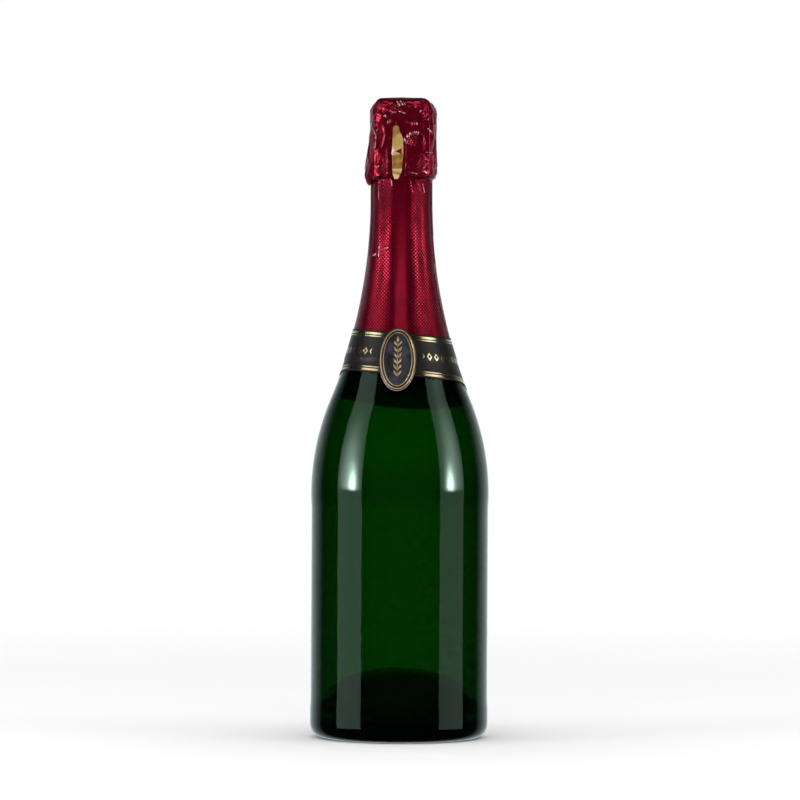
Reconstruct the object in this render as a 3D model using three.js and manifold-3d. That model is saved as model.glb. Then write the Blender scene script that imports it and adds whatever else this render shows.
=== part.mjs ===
// A sparkling wine bottle with its cork, wire cage, foil capsule and neck label. Millimetres, +Z up.
// The origin is the middle of the standing ring. The front faces -Y, and +X is to the right.

import * as THREE from "three";
import { mergeVertices } from "three/addons/utils/BufferGeometryUtils.js";
import Module from "manifold-3d";

const wasm = await Module();
wasm.setup();

// Glass: height, and depths below the mouth
const glassHeight = 300;
const flareDepth = 33.7;
const shoulderDepth = 179;
const panelDepth = 187;
const panelEdge = 6;
const heelBandHeight = 20;
// Glass: outside
const bodyRadius = 44.15;
const panelRecess = 0.3;
const neckRadius = 15;
const shoulderArc = 122;
const heelArc = 8;
const standingRingWidth = 3.6;
// Glass: inside
const bodyWall = 4;
const mouthBoreRadius = 8.75;
const neckBoreRadius = 9.3;
const mouthChamfer = 0.7;
const puntDepth = 28;
const baseThickness = 7.5;
const valleyHeight = 8.5;
const valleyArc = 9;
const domeFoot = 0.87;
const domeCrown = 0.55;
const domeRise = 0.45;
// Glass: finish
const lipRadius = 14.3;
const lipHeight = 6;
const lipRound = 1.2;
const lipGrooveDepth = 0.8;
const lipGrooveHeight = 1.6;
const collarRadius = 16.6;
const collarHeight = 9.4;
const collarDrop = 18.5;
const collarChamfer = 0.9;
const throatRadius = 14.2;
const throatHeight = 6;
const throatTaper = 5;
// Wine
const fillDepth = 78;
const wineGap = 0.25;
// Cork
const corkHeadRadius = 14.5;
const corkHeadHeight = 14.2;
const corkHeadRound = 2.8;
const corkUndercut = 0.9;
const corkShankLength = 12;
const corkDiscHeight = 6;
const corkGap = 0.15;
const glueGap = 0.05;
// Plaque
const plaqueRadius = 14.7;
const plaqueThickness = 0.3;
const plaqueStep = 0.6;
const plaqueRimDrop = 2.4;
const plaqueGrooveRadius = 10.55;
const plaqueGrooveWidth = 2.7;
// Wire cage
const wireDiameter = 0.8;
const wireGap = 0.2;
const legCount = 4;
const legTwists = 5;
const eyeletRadius = 1;
const beltClearance = 0.3;
const stemAngle = -60;
const stemTwists = 1.5;
const keyAngle = -92;
const keyHalfLength = 6.6;
const keyHalfHeight = 2.9;
// Foil capsule
const foilThickness = 0.35;
const hoodGap = 0.5;
const legFoilGap = 0.4;
const waistGap = 1.35;
const headGap = 1.8;
const crownGap = 0.9;
const waistDrop = 9.5;
const crownShares = [0.96, 0.88, 0.73, 0.48];
const crownLegShares = [1, 0.95, 0.8, 0.52];
const sleeveThickness = 0.2;
const sleeveGap = 0.15;
const sleeveLength = 85.8;
const skirtHeight = 2.4;
const hemGap = 0.3;
const keyHemDrop = 3.2;
const keyBulgeFlat = 27;
const keyBulgeSpread = 45;
const keyBulgeRise = 6;
// Pull tab
const tabWidth = 5.5;
const tabHeight = 26.6;
const tabHang = 2.1;
const tabThickness = 0.3;
const tabGap = 0.2;
const tabAngle = -6.1;
const tabOutline = 2.6;
const tabRings = [0.5, 0.8, 1];
// Neck label
const labelDepth = 99.25;
const labelHeight = 21;
const labelThickness = 0.25;
const labelGap = 0.15;
const labelTilt = 5.3;
const labelTopDroop = 1.5;
const labelBottomDroop = 23.5;
const labelDroopPower = 3.1;
const labelDroopAngle = 176;
const labelLap = 18;
const foilEdgeMargin = 1;
const foilEdgeEase = 3;
// Medallion
const medallionWidth = 18.8;
const medallionHeight = 31.1;
const medallionThickness = 0.55;
const medallionRim = 0.25;
const medallionRimWidth = 0.12;
const medallionRimStep = 0.02;
const medallionRings = [0.4, 0.75];
const medallionAngle = -3;
const medallionDepth = 112.4;
// Facets
const turnSteps = 40;
const arcSteps = 5;
const domeSteps = 4;
const heelSteps = 3;
const wireSides = 5;
const legSteps = 20;
const eyeletSteps = 8;
const wireRingSteps = 32;
const keySteps = 16;
const stemSteps = 8;
const plateSteps = 28;
const labelRows = 6;

// Heights worked out from the sizes above
const flareZ = glassHeight - flareDepth;
const shoulderZ = glassHeight - shoulderDepth;
const panelTopZ = glassHeight - panelDepth;
const labelTopZ = glassHeight - labelDepth;
const medallionZ = glassHeight - medallionDepth;
const collarBottomZ = glassHeight - collarDrop;
const collarTopZ = collarBottomZ + collarHeight;
const throatZ = collarBottomZ - throatHeight;
const fillZ = glassHeight - fillDepth;
const corkTopZ = glassHeight + glueGap + corkHeadHeight;
const grooveZ = corkTopZ + glueGap + plaqueThickness;
const plaqueTopZ = grooveZ + plaqueStep;
const beltZ = collarBottomZ - wireGap - eyeletRadius - wireDiameter / 2;
const beltRadius = throatRadius + beltClearance + eyeletRadius + wireDiameter / 2;
const legTopZ = plaqueTopZ + wireGap + wireDiameter;
const legCollarRadius = collarRadius + wireGap + wireDiameter;
const legHeadRadius = plaqueRadius + wireGap + wireDiameter;
const hoodTopZ = legTopZ + wireDiameter + crownGap + foilThickness;
const hemZ = beltZ - eyeletRadius - wireDiameter / 2;
const waistZ = corkTopZ - waistDrop;
const sleeveTopZ = hemZ - hemGap;
const sleeveBottomZ = sleeveTopZ - skirtHeight - sleeveLength;

const degrees = THREE.MathUtils.degToRad;
const { smoothstep } = THREE.MathUtils;

// A point at a radius, an angle from the front towards +X, and a height
function polar(radius, angle, z) {
  return new THREE.Vector3(radius * Math.sin(angle), -radius * Math.cos(angle), z);
}

// Points of a bezier curve in the radius and height plane
function bezier(corners, steps) {
  const points = corners.map(([r, z]) => new THREE.Vector2(r, z));
  const Curve = points.length === 3 ? THREE.QuadraticBezierCurve : THREE.CubicBezierCurve;
  return new Curve(...points).getPoints(steps).map((p) => [p.x, p.y]);
}

// A line from neck to body: a hollow arc that touches a round shoulder arc
function shoulderLine(neck, neckZ, body, bodyZ, roundArc) {
  const across = body - neck;
  const down = neckZ - bodyZ;
  const hollowArc = (across ** 2 + down ** 2) / (2 * across) - roundArc;
  const lean = 2 * Math.atan2(across, down);
  const line = [];
  for (let i = 0; i < arcSteps; i += 1) {
    const turn = (lean * i) / arcSteps;
    line.push([neck + hollowArc * (1 - Math.cos(turn)), neckZ - hollowArc * Math.sin(turn)]);
  }
  for (let i = arcSteps; i >= 0; i -= 1) {
    const turn = (lean * i) / arcSteps;
    line.push([body - roundArc * (1 - Math.cos(turn)), bodyZ + roundArc * Math.sin(turn)]);
  }
  return line;
}

// Radius at a height on a line that runs from the top down
function radiusAt(line, z) {
  const below = line.findIndex((point) => point[1] <= z);
  if (below === 0) {
    return line[0][0];
  }
  if (below < 0) {
    return line[line.length - 1][0];
  }
  const [upperR, upperZ] = line[below - 1];
  const [lowerR, lowerZ] = line[below];
  return upperR + ((lowerR - upperR) * (upperZ - z)) / (upperZ - lowerZ);
}

// A line set off along its normals: outwards where it runs down, and downwards where it runs inwards
function setOff(line, distance) {
  const normals = line.slice(1).map(([r, z], i) => {
    const normal = new THREE.Vector2(line[i][1] - z, r - line[i][0]);
    return normal.normalize();
  });
  return line.map(([r, z], i) => {
    const before = normals[Math.max(i - 1, 0)];
    const after = normals[Math.min(i, normals.length - 1)];
    const middle = before.clone().add(after);
    middle.multiplyScalar((2 * distance) / middle.lengthSq());
    return [r === 0 ? 0 : r + middle.x, z + middle.y];
  });
}

const outerShoulder = shoulderLine(neckRadius, flareZ, bodyRadius, shoulderZ, shoulderArc);
const glassRadius = (z) => radiusAt(outerShoulder, z);

// Turns the triangles of a closed surface so that they face out
function facingOut(geometry) {
  const position = geometry.getAttribute("position");
  const index = geometry.getIndex();
  const corner = [0, 1, 2].map(() => new THREE.Vector3());
  let volume = 0;
  for (let i = 0; i < index.count; i += 3) {
    corner.forEach((point, k) => point.fromBufferAttribute(position, index.getX(i + k)));
    volume += corner[0].dot(corner[1].cross(corner[2]));
  }
  if (volume < 0) {
    geometry.setIndex(Array.from(index.array).reverse());
  }
  return geometry;
}

// A closed surface through rings of points; an end ring of one point closes that end
function skin(rings, { closed = false } = {}) {
  const points = rings.flat();
  const starts = [];
  rings.reduce((sum, ring) => {
    starts.push(sum);
    return sum + ring.length;
  }, 0);
  const triangles = [];
  const last = closed ? rings.length : rings.length - 1;
  for (let i = 0; i < last; i += 1) {
    const next = (i + 1) % rings.length;
    const here = rings[i].length;
    const there = rings[next].length;
    const count = Math.max(here, there);
    for (let k = 0; k < count; k += 1) {
      const a = starts[i] + (k % here);
      const b = starts[i] + ((k + 1) % here);
      const c = starts[next] + (k % there);
      const d = starts[next] + ((k + 1) % there);
      if (here > 1) {
        triangles.push(a, b, d);
      }
      if (there > 1) {
        triangles.push(a, d, c);
      }
    }
  }
  const geometry = new THREE.BufferGeometry().setFromPoints(points);
  geometry.setIndex(triangles);
  return facingOut(geometry);
}

// A solid turned from a closed outline of radius and height
function turned(outline) {
  const points = outline.map(([r, z]) => new THREE.Vector2(r, z));
  const geometry = new THREE.LatheGeometry(points, turnSteps);
  geometry.rotateX(Math.PI / 2);
  geometry.deleteAttribute("normal");
  geometry.deleteAttribute("uv");
  return facingOut(mergeVertices(geometry, 1e-4));
}

// Joins closed surfaces into one
function joined(geometries) {
  const solids = geometries.map((geometry) => {
    geometry.deleteAttribute("normal");
    geometry.deleteAttribute("uv");
    const merged = facingOut(mergeVertices(geometry, 1e-4));
    const vertProperties = new Float32Array(merged.getAttribute("position").array);
    const triVerts = new Uint32Array(merged.getIndex().array);
    return new wasm.Manifold(new wasm.Mesh({ numProp: 3, vertProperties, triVerts }));
  });
  const mesh = solids.reduce((sum, solid) => sum.add(solid)).getMesh();
  const geometry = new THREE.BufferGeometry();
  geometry.setAttribute("position", new THREE.BufferAttribute(mesh.vertProperties, 3));
  geometry.setIndex(Array.from(mesh.triVerts));
  return geometry;
}

// A dome over the base, from its foot to the middle of its crown
function domeLine(footRadius, footZ, crownZ) {
  const riseZ = footZ + (crownZ - footZ) * domeRise;
  return bezier(
    [[footRadius, footZ], [footRadius * domeFoot, riseZ], [footRadius * domeCrown, crownZ], [0, crownZ]],
    domeSteps,
  );
}

// The bottle's inside, from the mouth down to the middle of the floor
function insideLine() {
  const innerRadius = bodyRadius - panelRecess - bodyWall;
  const domeRadius = bodyRadius - heelArc - standingRingWidth + baseThickness / 2;
  const boreEndZ = glassHeight - corkShankLength - 2 * corkDiscHeight - mouthChamfer;
  const valley = bezier(
    [[innerRadius, valleyHeight + valleyArc], [innerRadius, valleyHeight], [domeRadius, valleyHeight]],
    heelSteps,
  );
  return [
    [mouthBoreRadius + mouthChamfer, glassHeight],
    [mouthBoreRadius, glassHeight - mouthChamfer],
    [mouthBoreRadius, boreEndZ],
    ...shoulderLine(neckBoreRadius, flareZ, innerRadius, shoulderZ, shoulderArc - bodyWall),
    ...valley,
    ...domeLine(domeRadius, valleyHeight, puntDepth + baseThickness).slice(1),
  ];
}

// The bottle's outside, from the middle of the punt down, round the heel and up to the mouth
function outsideLine() {
  const panelRadius = bodyRadius - panelRecess;
  const ringRadius = bodyRadius - heelArc;
  const lipBottomZ = glassHeight - lipHeight;
  const heel = bezier([[ringRadius, 0], [bodyRadius, 0], [bodyRadius, heelArc]], heelSteps);
  return [
    ...domeLine(ringRadius - standingRingWidth, 0, puntDepth).reverse(),
    ...heel,
    [bodyRadius, heelBandHeight - panelEdge],
    [panelRadius, heelBandHeight],
    [panelRadius, panelTopZ],
    [bodyRadius, panelTopZ + panelEdge],
    ...outerShoulder.toReversed(),
    [neckRadius, throatZ - throatTaper],
    [throatRadius, throatZ],
    [throatRadius, collarBottomZ],
    [collarRadius - collarChamfer, collarBottomZ],
    [collarRadius, collarBottomZ + collarChamfer],
    [collarRadius, collarTopZ - 2 * collarChamfer],
    [lipRadius - lipGrooveDepth, collarTopZ],
    [lipRadius - lipGrooveDepth, lipBottomZ - lipGrooveHeight / 2],
    [lipRadius, lipBottomZ],
    [lipRadius, glassHeight - lipRound],
    [lipRadius - lipRound, glassHeight],
  ];
}

function glassBottle() {
  return turned([...outsideLine(), ...insideLine()]);
}

function wine() {
  const inside = insideLine();
  const wet = inside.filter(([, z]) => z < fillZ - wineGap);
  const line = setOff([[radiusAt(inside, fillZ), fillZ], ...wet], -wineGap);
  return turned([[0, fillZ], [line[0][0], fillZ], ...line.slice(1)]);
}

function corkBody() {
  const seatZ = glassHeight + glueGap;
  const shankRadius = mouthBoreRadius - corkGap;
  const roundZ = corkTopZ - corkHeadRound;
  const headRound = bezier(
    [[corkHeadRadius - corkHeadRound, corkTopZ], [corkHeadRadius, corkTopZ], [corkHeadRadius, roundZ]],
    heelSteps,
  );
  return turned([
    [0, corkTopZ],
    ...headRound,
    [corkHeadRadius, seatZ + 3 * corkUndercut],
    [corkHeadRadius - corkUndercut, seatZ],
    [shankRadius, seatZ],
    [shankRadius, glassHeight - corkShankLength],
    [0, glassHeight - corkShankLength],
  ]);
}

function corkDisc(place) {
  const topZ = glassHeight - corkShankLength - place * corkDiscHeight - glueGap;
  const bottomZ = topZ - corkDiscHeight + glueGap;
  const radius = mouthBoreRadius - corkGap;
  return turned([[0, topZ], [radius, topZ], [radius, bottomZ], [0, bottomZ]]);
}

// A pressed cap: raised middle, groove for the wire ring, raised rim turned down at the edge
function plaque() {
  const inner = plaqueGrooveRadius - plaqueGrooveWidth / 2;
  const outer = plaqueGrooveRadius + plaqueGrooveWidth / 2;
  const top = [
    [0, plaqueTopZ],
    [inner - plaqueStep, plaqueTopZ],
    [inner, grooveZ],
    [outer, grooveZ],
    [outer + plaqueStep, plaqueTopZ],
    [(outer + plaqueStep + plaqueRadius) / 2, plaqueTopZ - plaqueThickness],
    [plaqueRadius, plaqueTopZ - plaqueRimDrop],
  ];
  const under = setOff(top, -plaqueThickness).reverse();
  return turned([...top, ...under]);
}

// A closed ring of wire that lies level round the origin
function wireRing(radius, steps) {
  return new THREE.TorusGeometry(radius, wireDiameter / 2, wireSides, steps);
}

// Two wires twisted together along a curve: a six-sided section, two wires wide, that turns as it goes.
// side gives the direction across the curve at a point.
function twistedPair(curve, steps, turns, side) {
  const half = wireDiameter / 2;
  const section = [
    [2 * half, 0], [half, half], [-half, half], [-2 * half, 0], [-half, -half], [half, -half],
  ];
  const rings = [];
  for (let i = 0; i <= steps; i += 1) {
    const centre = curve.getPointAt(i / steps);
    const along = curve.getTangentAt(i / steps);
    const across = side(centre).addScaledVector(along, -side(centre).dot(along)).normalize();
    const upward = along.clone().cross(across);
    const spin = (2 * Math.PI * turns * i) / steps;
    rings.push(section.map(([u, v]) => {
      const p = u * Math.cos(spin) - v * Math.sin(spin);
      const q = u * Math.sin(spin) + v * Math.cos(spin);
      return centre.clone().addScaledVector(across, p).addScaledVector(upward, q);
    }));
  }
  return skin([[curve.getPointAt(0)], ...rings, [curve.getPointAt(1)]]);
}

// The path of a cage leg in its own upright plane, from the wire ring to the eyelet
function legPath() {
  const eyeReach = eyeletRadius * Math.SQRT1_2;
  const eyeTop = new THREE.Vector2(beltRadius + eyeReach, beltZ + eyeReach);
  const spots = [
    [plaqueGrooveRadius, grooveZ + wireGap + wireDiameter],
    [plaqueGrooveRadius + plaqueGrooveWidth / 2 + plaqueStep, legTopZ],
    [(plaqueRadius + legHeadRadius) / 2 - wireDiameter / 2, legTopZ - wireDiameter / 2],
    [legHeadRadius, plaqueTopZ - plaqueRimDrop],
    [legRadius(waistZ), waistZ],
    [legCollarRadius, collarTopZ],
    [legCollarRadius, collarBottomZ + collarChamfer],
    [(legCollarRadius + eyeTop.x) / 2, (collarBottomZ + eyeTop.y) / 2],
    [eyeTop.x, eyeTop.y],
  ];
  return spots.map(([r, z]) => polar(r, 0, z));
}

function wireHood() {
  const leg = new THREE.CatmullRomCurve3(legPath(), false, "centripetal");
  const sideways = () => new THREE.Vector3(1, 0, 0);
  const ringZ = grooveZ + wireGap + wireDiameter / 2;
  const topRing = wireRing(plaqueGrooveRadius, wireRingSteps).translate(0, 0, ringZ);
  const pieces = [topRing];
  for (let i = 0; i < legCount; i += 1) {
    const angle = (2 * Math.PI * (i + 0.5)) / legCount;
    const eyelet = wireRing(eyeletRadius, eyeletSteps).rotateY(Math.PI / 2).translate(0, -beltRadius, beltZ);
    pieces.push(eyelet.rotateZ(angle));
    pieces.push(twistedPair(leg, legSteps, legTwists, sideways).rotateZ(angle));
  }
  return joined(pieces);
}

// The belt runs through the eyelets. Its ends are twisted into a stem and a key loop that lies on the collar.
function beltWire() {
  const keyRadius = collarRadius + wireGap + wireDiameter / 2;
  const keyZ = beltZ + keyHalfHeight - wireDiameter;
  const keyTurn = keyHalfLength / keyRadius;
  const stemEnd = degrees(keyAngle) + keyTurn;
  const loop = [];
  for (let i = 0; i < keySteps; i += 1) {
    const turn = (2 * Math.PI * i) / keySteps;
    const angle = degrees(keyAngle) + keyTurn * Math.cos(turn);
    const z = keyZ + keyHalfHeight * Math.sin(turn);
    const rim = [];
    for (let k = 0; k < wireSides; k += 1) {
      const spin = (2 * Math.PI * k) / wireSides;
      const outward = (wireDiameter / 2) * Math.cos(spin);
      const along = (wireDiameter / 2) * Math.sin(spin);
      rim.push(polar(
        keyRadius + outward, angle + (along * Math.cos(turn)) / keyRadius, z + along * Math.sin(turn),
      ));
    }
    loop.push(rim);
  }
  const stem = new THREE.CatmullRomCurve3([
    polar(beltRadius, degrees(stemAngle), beltZ),
    polar((beltRadius + keyRadius) / 2, degrees(stemAngle) / 2 + stemEnd / 2, beltZ),
    polar(keyRadius, stemEnd, keyZ),
  ]);
  const belt = wireRing(beltRadius, wireRingSteps).translate(0, 0, beltZ);
  const outwards = (point) => new THREE.Vector3(point.x, point.y, 0).normalize();
  return joined([belt, twistedPair(stem, stemSteps, stemTwists, outwards), skin(loop, { closed: true })]);
}

// Radius of a cage leg's middle at a height between the collar and the plaque's rim
function legRadius(z) {
  const share = (z - collarTopZ) / (plaqueTopZ - plaqueRimDrop - collarTopZ);
  return legCollarRadius + (legHeadRadius - legCollarRadius) * share;
}

// How much the hood stands out over a cage leg: 1 over a leg, 0 between legs
function legShare(angle) {
  return ((1 - Math.cos(legCount * angle)) / 2) ** 2;
}

// How much the hood stands out over the key loop
function keyShare(angle, z) {
  const away = Math.abs(THREE.MathUtils.radToDeg(angle) - keyAngle);
  const round = 1 - smoothstep(away, keyBulgeFlat, keyBulgeSpread);
  const keyTopZ = beltZ + 2 * keyHalfHeight;
  return round * (1 - smoothstep(z, keyTopZ, keyTopZ + keyBulgeRise));
}

// The hood's outlines from the hem to the top: between the legs, and over the legs
function hoodLines() {
  const collarSide = collarRadius + hoodGap + foilThickness;
  const waistSide = plaqueRadius + waistGap + foilThickness;
  const headSide = plaqueRadius + headGap + foilThickness;
  const legCover = wireDiameter + legFoilGap + foilThickness;
  const collarOver = legCollarRadius + legCover;
  const headOver = legHeadRadius + legCover;
  const middleZ = (collarBottomZ + collarTopZ) / 2;
  const lowWaistZ = (collarTopZ + waistZ) / 2;
  const rimZ = plaqueTopZ - plaqueRimDrop;
  const between = [
    [collarSide, hemZ],
    [collarSide, collarBottomZ],
    [collarSide, middleZ],
    [(collarSide * 2 + waistSide) / 3, collarTopZ],
    [(collarSide + waistSide * 2) / 3, lowWaistZ],
    [waistSide, waistZ],
    [headSide, rimZ - plaqueRimDrop],
    [headSide * crownShares[0], rimZ],
    [headSide * crownShares[1], plaqueTopZ - plaqueThickness],
    [headSide * crownShares[2], legTopZ + wireDiameter],
    [headSide * crownShares[3], hoodTopZ - foilThickness],
    [0, hoodTopZ],
  ];
  const over = [
    [collarOver, hemZ],
    [collarOver, collarBottomZ],
    [collarOver, middleZ],
    [collarOver, collarTopZ],
    [legRadius(lowWaistZ) + legCover, lowWaistZ],
    [legRadius(waistZ) + legCover, waistZ],
    [legRadius(rimZ - plaqueRimDrop) + legCover, rimZ - plaqueRimDrop],
    [headOver * crownLegShares[0], rimZ],
    [headOver * crownLegShares[1], legTopZ - wireDiameter / 2],
    [headOver * crownLegShares[2], legTopZ + wireDiameter + crownGap],
    [headOver * crownLegShares[3], hoodTopZ - foilThickness / 2],
    [0, hoodTopZ],
  ];
  return { between, over };
}

// One ring of points of the hood, from its point between the legs and its point over the legs
function hoodRing(side, leg, keyCover) {
  const ring = [];
  for (let k = 0; k < turnSteps; k += 1) {
    const angle = -Math.PI + (2 * Math.PI * k) / turnSteps;
    const legs = legShare(angle);
    const z = side[1] + (leg[1] - side[1]) * legs;
    const key = keyShare(angle, z);
    const plain = side[0] + (leg[0] - side[0]) * legs;
    const hem = side[1] === hemZ ? keyHemDrop * key : 0;
    ring.push(polar(plain + Math.max(keyCover - plain, 0) * key, angle, z - hem));
  }
  return ring;
}

function foilHood() {
  const { between, over } = hoodLines();
  const keyCover = legCollarRadius + legFoilGap + foilThickness;
  const innerBetween = setOff(between, foilThickness);
  const innerOver = setOff(over, foilThickness);
  const rings = between.length - 1;
  const outer = between.slice(0, rings).map((side, i) => hoodRing(side, over[i], keyCover));
  const inner = innerBetween.slice(0, rings).map((side, i) => (
    hoodRing(side, innerOver[i], keyCover - foilThickness)
  ));
  const top = new THREE.Vector3(0, 0, hoodTopZ);
  const under = new THREE.Vector3(0, 0, hoodTopZ - foilThickness);
  return skin([[under], ...inner.reverse(), ...outer, [top]]);
}

// The smooth lower foil: close to the neck, with a short skirt that meets the hood's hem
function foilSleeve() {
  const skirtZ = sleeveTopZ - skirtHeight;
  const neck = outerShoulder.filter(([, z]) => z > sleeveBottomZ && z < skirtZ);
  const line = [
    [collarRadius + hoodGap - sleeveThickness, sleeveTopZ],
    [neckRadius + sleeveGap, skirtZ],
    ...neck.map(([r, z]) => [r + sleeveGap, z]),
    [glassRadius(sleeveBottomZ) + sleeveGap, sleeveBottomZ],
  ];
  const outside = line.map(([r, z]) => [r + sleeveThickness, z]).reverse();
  return turned([...line, ...outside, line[0]]);
}

// Radius of the hood's front at an angle and a height
function hoodFrontRadius(angle, z) {
  const { between, over } = hoodLines();
  const side = radiusAt(between.toReversed(), z);
  const leg = radiusAt(over.toReversed(), z);
  return side + (leg - side) * legShare(angle);
}

// A thin plate of rounded outline that follows a curved surface. depth gives its thickness along the way
// from the middle (0) to the edge (1), and outline is the exponent of its rim: 2 is an ellipse.
function curvedPlate({ angle, z, width, height, outline, shares, depth, surface }) {
  const ringAt = (share, level) => {
    const ring = [];
    for (let k = 0; k < plateSteps; k += 1) {
      const turn = (2 * Math.PI * k) / plateSteps;
      const across = Math.sign(Math.cos(turn)) * Math.abs(Math.cos(turn)) ** (2 / outline);
      const upward = Math.sign(Math.sin(turn)) * Math.abs(Math.sin(turn)) ** (2 / outline);
      const spotZ = z + (share * upward * height) / 2;
      const spotAngle = angle + (share * across * width) / 2 / surface(angle, spotZ);
      ring.push(polar(surface(spotAngle, spotZ) + level, spotAngle, spotZ));
    }
    return ring;
  };
  const back = [polar(surface(angle, z), angle, z)];
  const front = [polar(surface(angle, z) + depth(0), angle, z)];
  const backRings = shares.map((share) => ringAt(share, 0));
  const frontRings = shares.map((share) => ringAt(share, depth(share))).reverse();
  return skin([back, ...backRings, ...frontRings, front]);
}

function pullTab() {
  const bottomZ = hemZ - tabHang;
  return curvedPlate({
    angle: degrees(tabAngle),
    z: bottomZ + tabHeight / 2,
    width: tabWidth,
    height: tabHeight,
    outline: tabOutline,
    shares: tabRings,
    depth: () => tabThickness,
    surface: (angle, z) => hoodFrontRadius(angle, z) + tabGap,
  });
}

// Height of the label's edge at an angle: tilted across the front and drooping towards the back
function labelEdge(z, angle, droop) {
  const lean = Math.tan(degrees(labelTilt)) * glassRadius(z) * Math.sin(angle);
  const away = angle - degrees(labelDroopAngle);
  return z - lean - droop * ((1 + Math.cos(away)) / 2) ** labelDroopPower;
}

// Distance from the glass to the label's back: over the foil at the top, on the glass below it
function labelStandOff(z) {
  const easeZ = sleeveBottomZ - foilEdgeMargin;
  const overFoil = smoothstep(z, easeZ - foilEdgeEase, easeZ);
  return labelGap + overFoil * (sleeveGap + sleeveThickness);
}

function neckLabel() {
  const step = (2 * Math.PI) / turnSteps;
  const lapAngle = degrees(labelLap);
  const sections = [];
  const columns = turnSteps + Math.round(lapAngle / step);
  for (let k = 0; k <= columns; k += 1) {
    const angle = -Math.PI + step * k;
    const lifted = smoothstep(angle, Math.PI - lapAngle, Math.PI) * (labelThickness + labelGap);
    const topZ = labelEdge(labelTopZ, angle, labelTopDroop);
    const bottomZ = labelEdge(labelTopZ - labelHeight, angle, labelBottomDroop);
    const inner = [];
    const outer = [];
    for (let i = 0; i <= labelRows; i += 1) {
      const z = bottomZ + ((topZ - bottomZ) * i) / labelRows;
      const radius = glassRadius(z) + labelStandOff(z) + lifted;
      inner.push(polar(radius, angle, z));
      outer.push(polar(radius + labelThickness, angle, z));
    }
    sections.push([...outer, ...inner.reverse()]);
  }
  return strip(sections);
}

// A closed strip through sections that each hold an outer row and the inner row back
function strip(sections) {
  const size = sections[0].length;
  const triangles = [];
  for (let i = 0; i + 1 < sections.length; i += 1) {
    for (let k = 0; k < size; k += 1) {
      const a = i * size + k;
      const b = i * size + ((k + 1) % size);
      triangles.push(a, b, b + size, a, b + size, a + size);
    }
  }
  const end = (sections.length - 1) * size;
  for (let k = 0; k + 1 < size / 2; k += 1) {
    const far = size - 1 - k;
    triangles.push(k, far, far - 1, k, far - 1, k + 1);
    triangles.push(end + k, end + far - 1, end + far, end + k, end + k + 1, end + far - 1);
  }
  const geometry = new THREE.BufferGeometry().setFromPoints(sections.flat());
  geometry.setIndex(triangles);
  return facingOut(geometry);
}

function medallion() {
  const standOff = 2 * labelGap + sleeveGap + sleeveThickness + labelThickness;
  const inRim = 1 - medallionRimWidth;
  return curvedPlate({
    angle: degrees(medallionAngle),
    z: medallionZ,
    width: medallionWidth,
    height: medallionHeight,
    outline: 2,
    shares: [...medallionRings, inRim - medallionRimStep, inRim, 1],
    depth: (share) => medallionThickness + (share >= inRim ? medallionRim : 0),
    surface: (angle, z) => glassRadius(z) + standOff,
  });
}

function piece(name, geometry, color, roughness, metalness) {
  const mesh = new THREE.Mesh(geometry, new THREE.MeshStandardMaterial({ color, roughness, metalness }));
  mesh.name = name;
  return mesh;
}

const bottle = new THREE.Group();
bottle.add(
  piece("glass_bottle", glassBottle(), "#0b2a12", 0.05, 0),
  piece("wine", wine(), "#c9c46a", 0.05, 0),
  piece("cork_body", corkBody(), "#b98d5c", 0.85, 0),
  piece("cork_disc_upper", corkDisc(0), "#c99a63", 0.85, 0),
  piece("cork_disc_lower", corkDisc(1), "#c99a63", 0.85, 0),
  piece("muselet_plaque", plaque(), "#c9a24a", 0.3, 0.9),
  piece("wire_hood", wireHood(), "#b9bcc0", 0.35, 1),
  piece("belt_wire", beltWire(), "#b9bcc0", 0.35, 1),
  piece("foil_hood", foilHood(), "#7d0a22", 0.3, 0.9),
  piece("foil_sleeve", foilSleeve(), "#7d0a22", 0.3, 0.9),
  piece("pull_tab", pullTab(), "#d6b24a", 0.3, 0.9),
  piece("neck_label", neckLabel(), "#232326", 0.5, 0),
  piece("medallion", medallion(), "#33323c", 0.4, 0),
);

export default bottle;
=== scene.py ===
"""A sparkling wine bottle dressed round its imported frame: fine meshes, materials, camera and studio.

Sizes are in millimetres, and angles in degrees from the front (-Y) towards +X, unless a name says otherwise.
"""

import math
import random

import bmesh
import bpy
from mathutils import Matrix, Vector, noise

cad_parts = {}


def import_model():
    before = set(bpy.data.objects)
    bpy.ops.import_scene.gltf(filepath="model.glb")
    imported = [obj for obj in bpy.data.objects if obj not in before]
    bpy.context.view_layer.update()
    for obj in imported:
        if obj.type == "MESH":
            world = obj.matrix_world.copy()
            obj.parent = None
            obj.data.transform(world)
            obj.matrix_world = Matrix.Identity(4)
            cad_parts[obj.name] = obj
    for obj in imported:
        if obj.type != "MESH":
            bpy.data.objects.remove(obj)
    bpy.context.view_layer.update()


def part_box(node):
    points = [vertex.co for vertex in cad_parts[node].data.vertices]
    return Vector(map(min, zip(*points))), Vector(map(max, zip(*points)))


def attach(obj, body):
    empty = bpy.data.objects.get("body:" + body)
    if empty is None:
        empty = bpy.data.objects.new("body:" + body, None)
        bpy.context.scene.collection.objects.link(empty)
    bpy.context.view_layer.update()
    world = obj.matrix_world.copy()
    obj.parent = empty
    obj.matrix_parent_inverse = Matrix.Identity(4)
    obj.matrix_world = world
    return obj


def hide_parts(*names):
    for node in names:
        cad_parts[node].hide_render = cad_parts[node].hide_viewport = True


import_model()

MM = 0.001


def reach(node, axis):
    """Lowest and highest place of a CAD node along an axis"""
    low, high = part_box(node)
    return low[axis] / MM, high[axis] / MM


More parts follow.
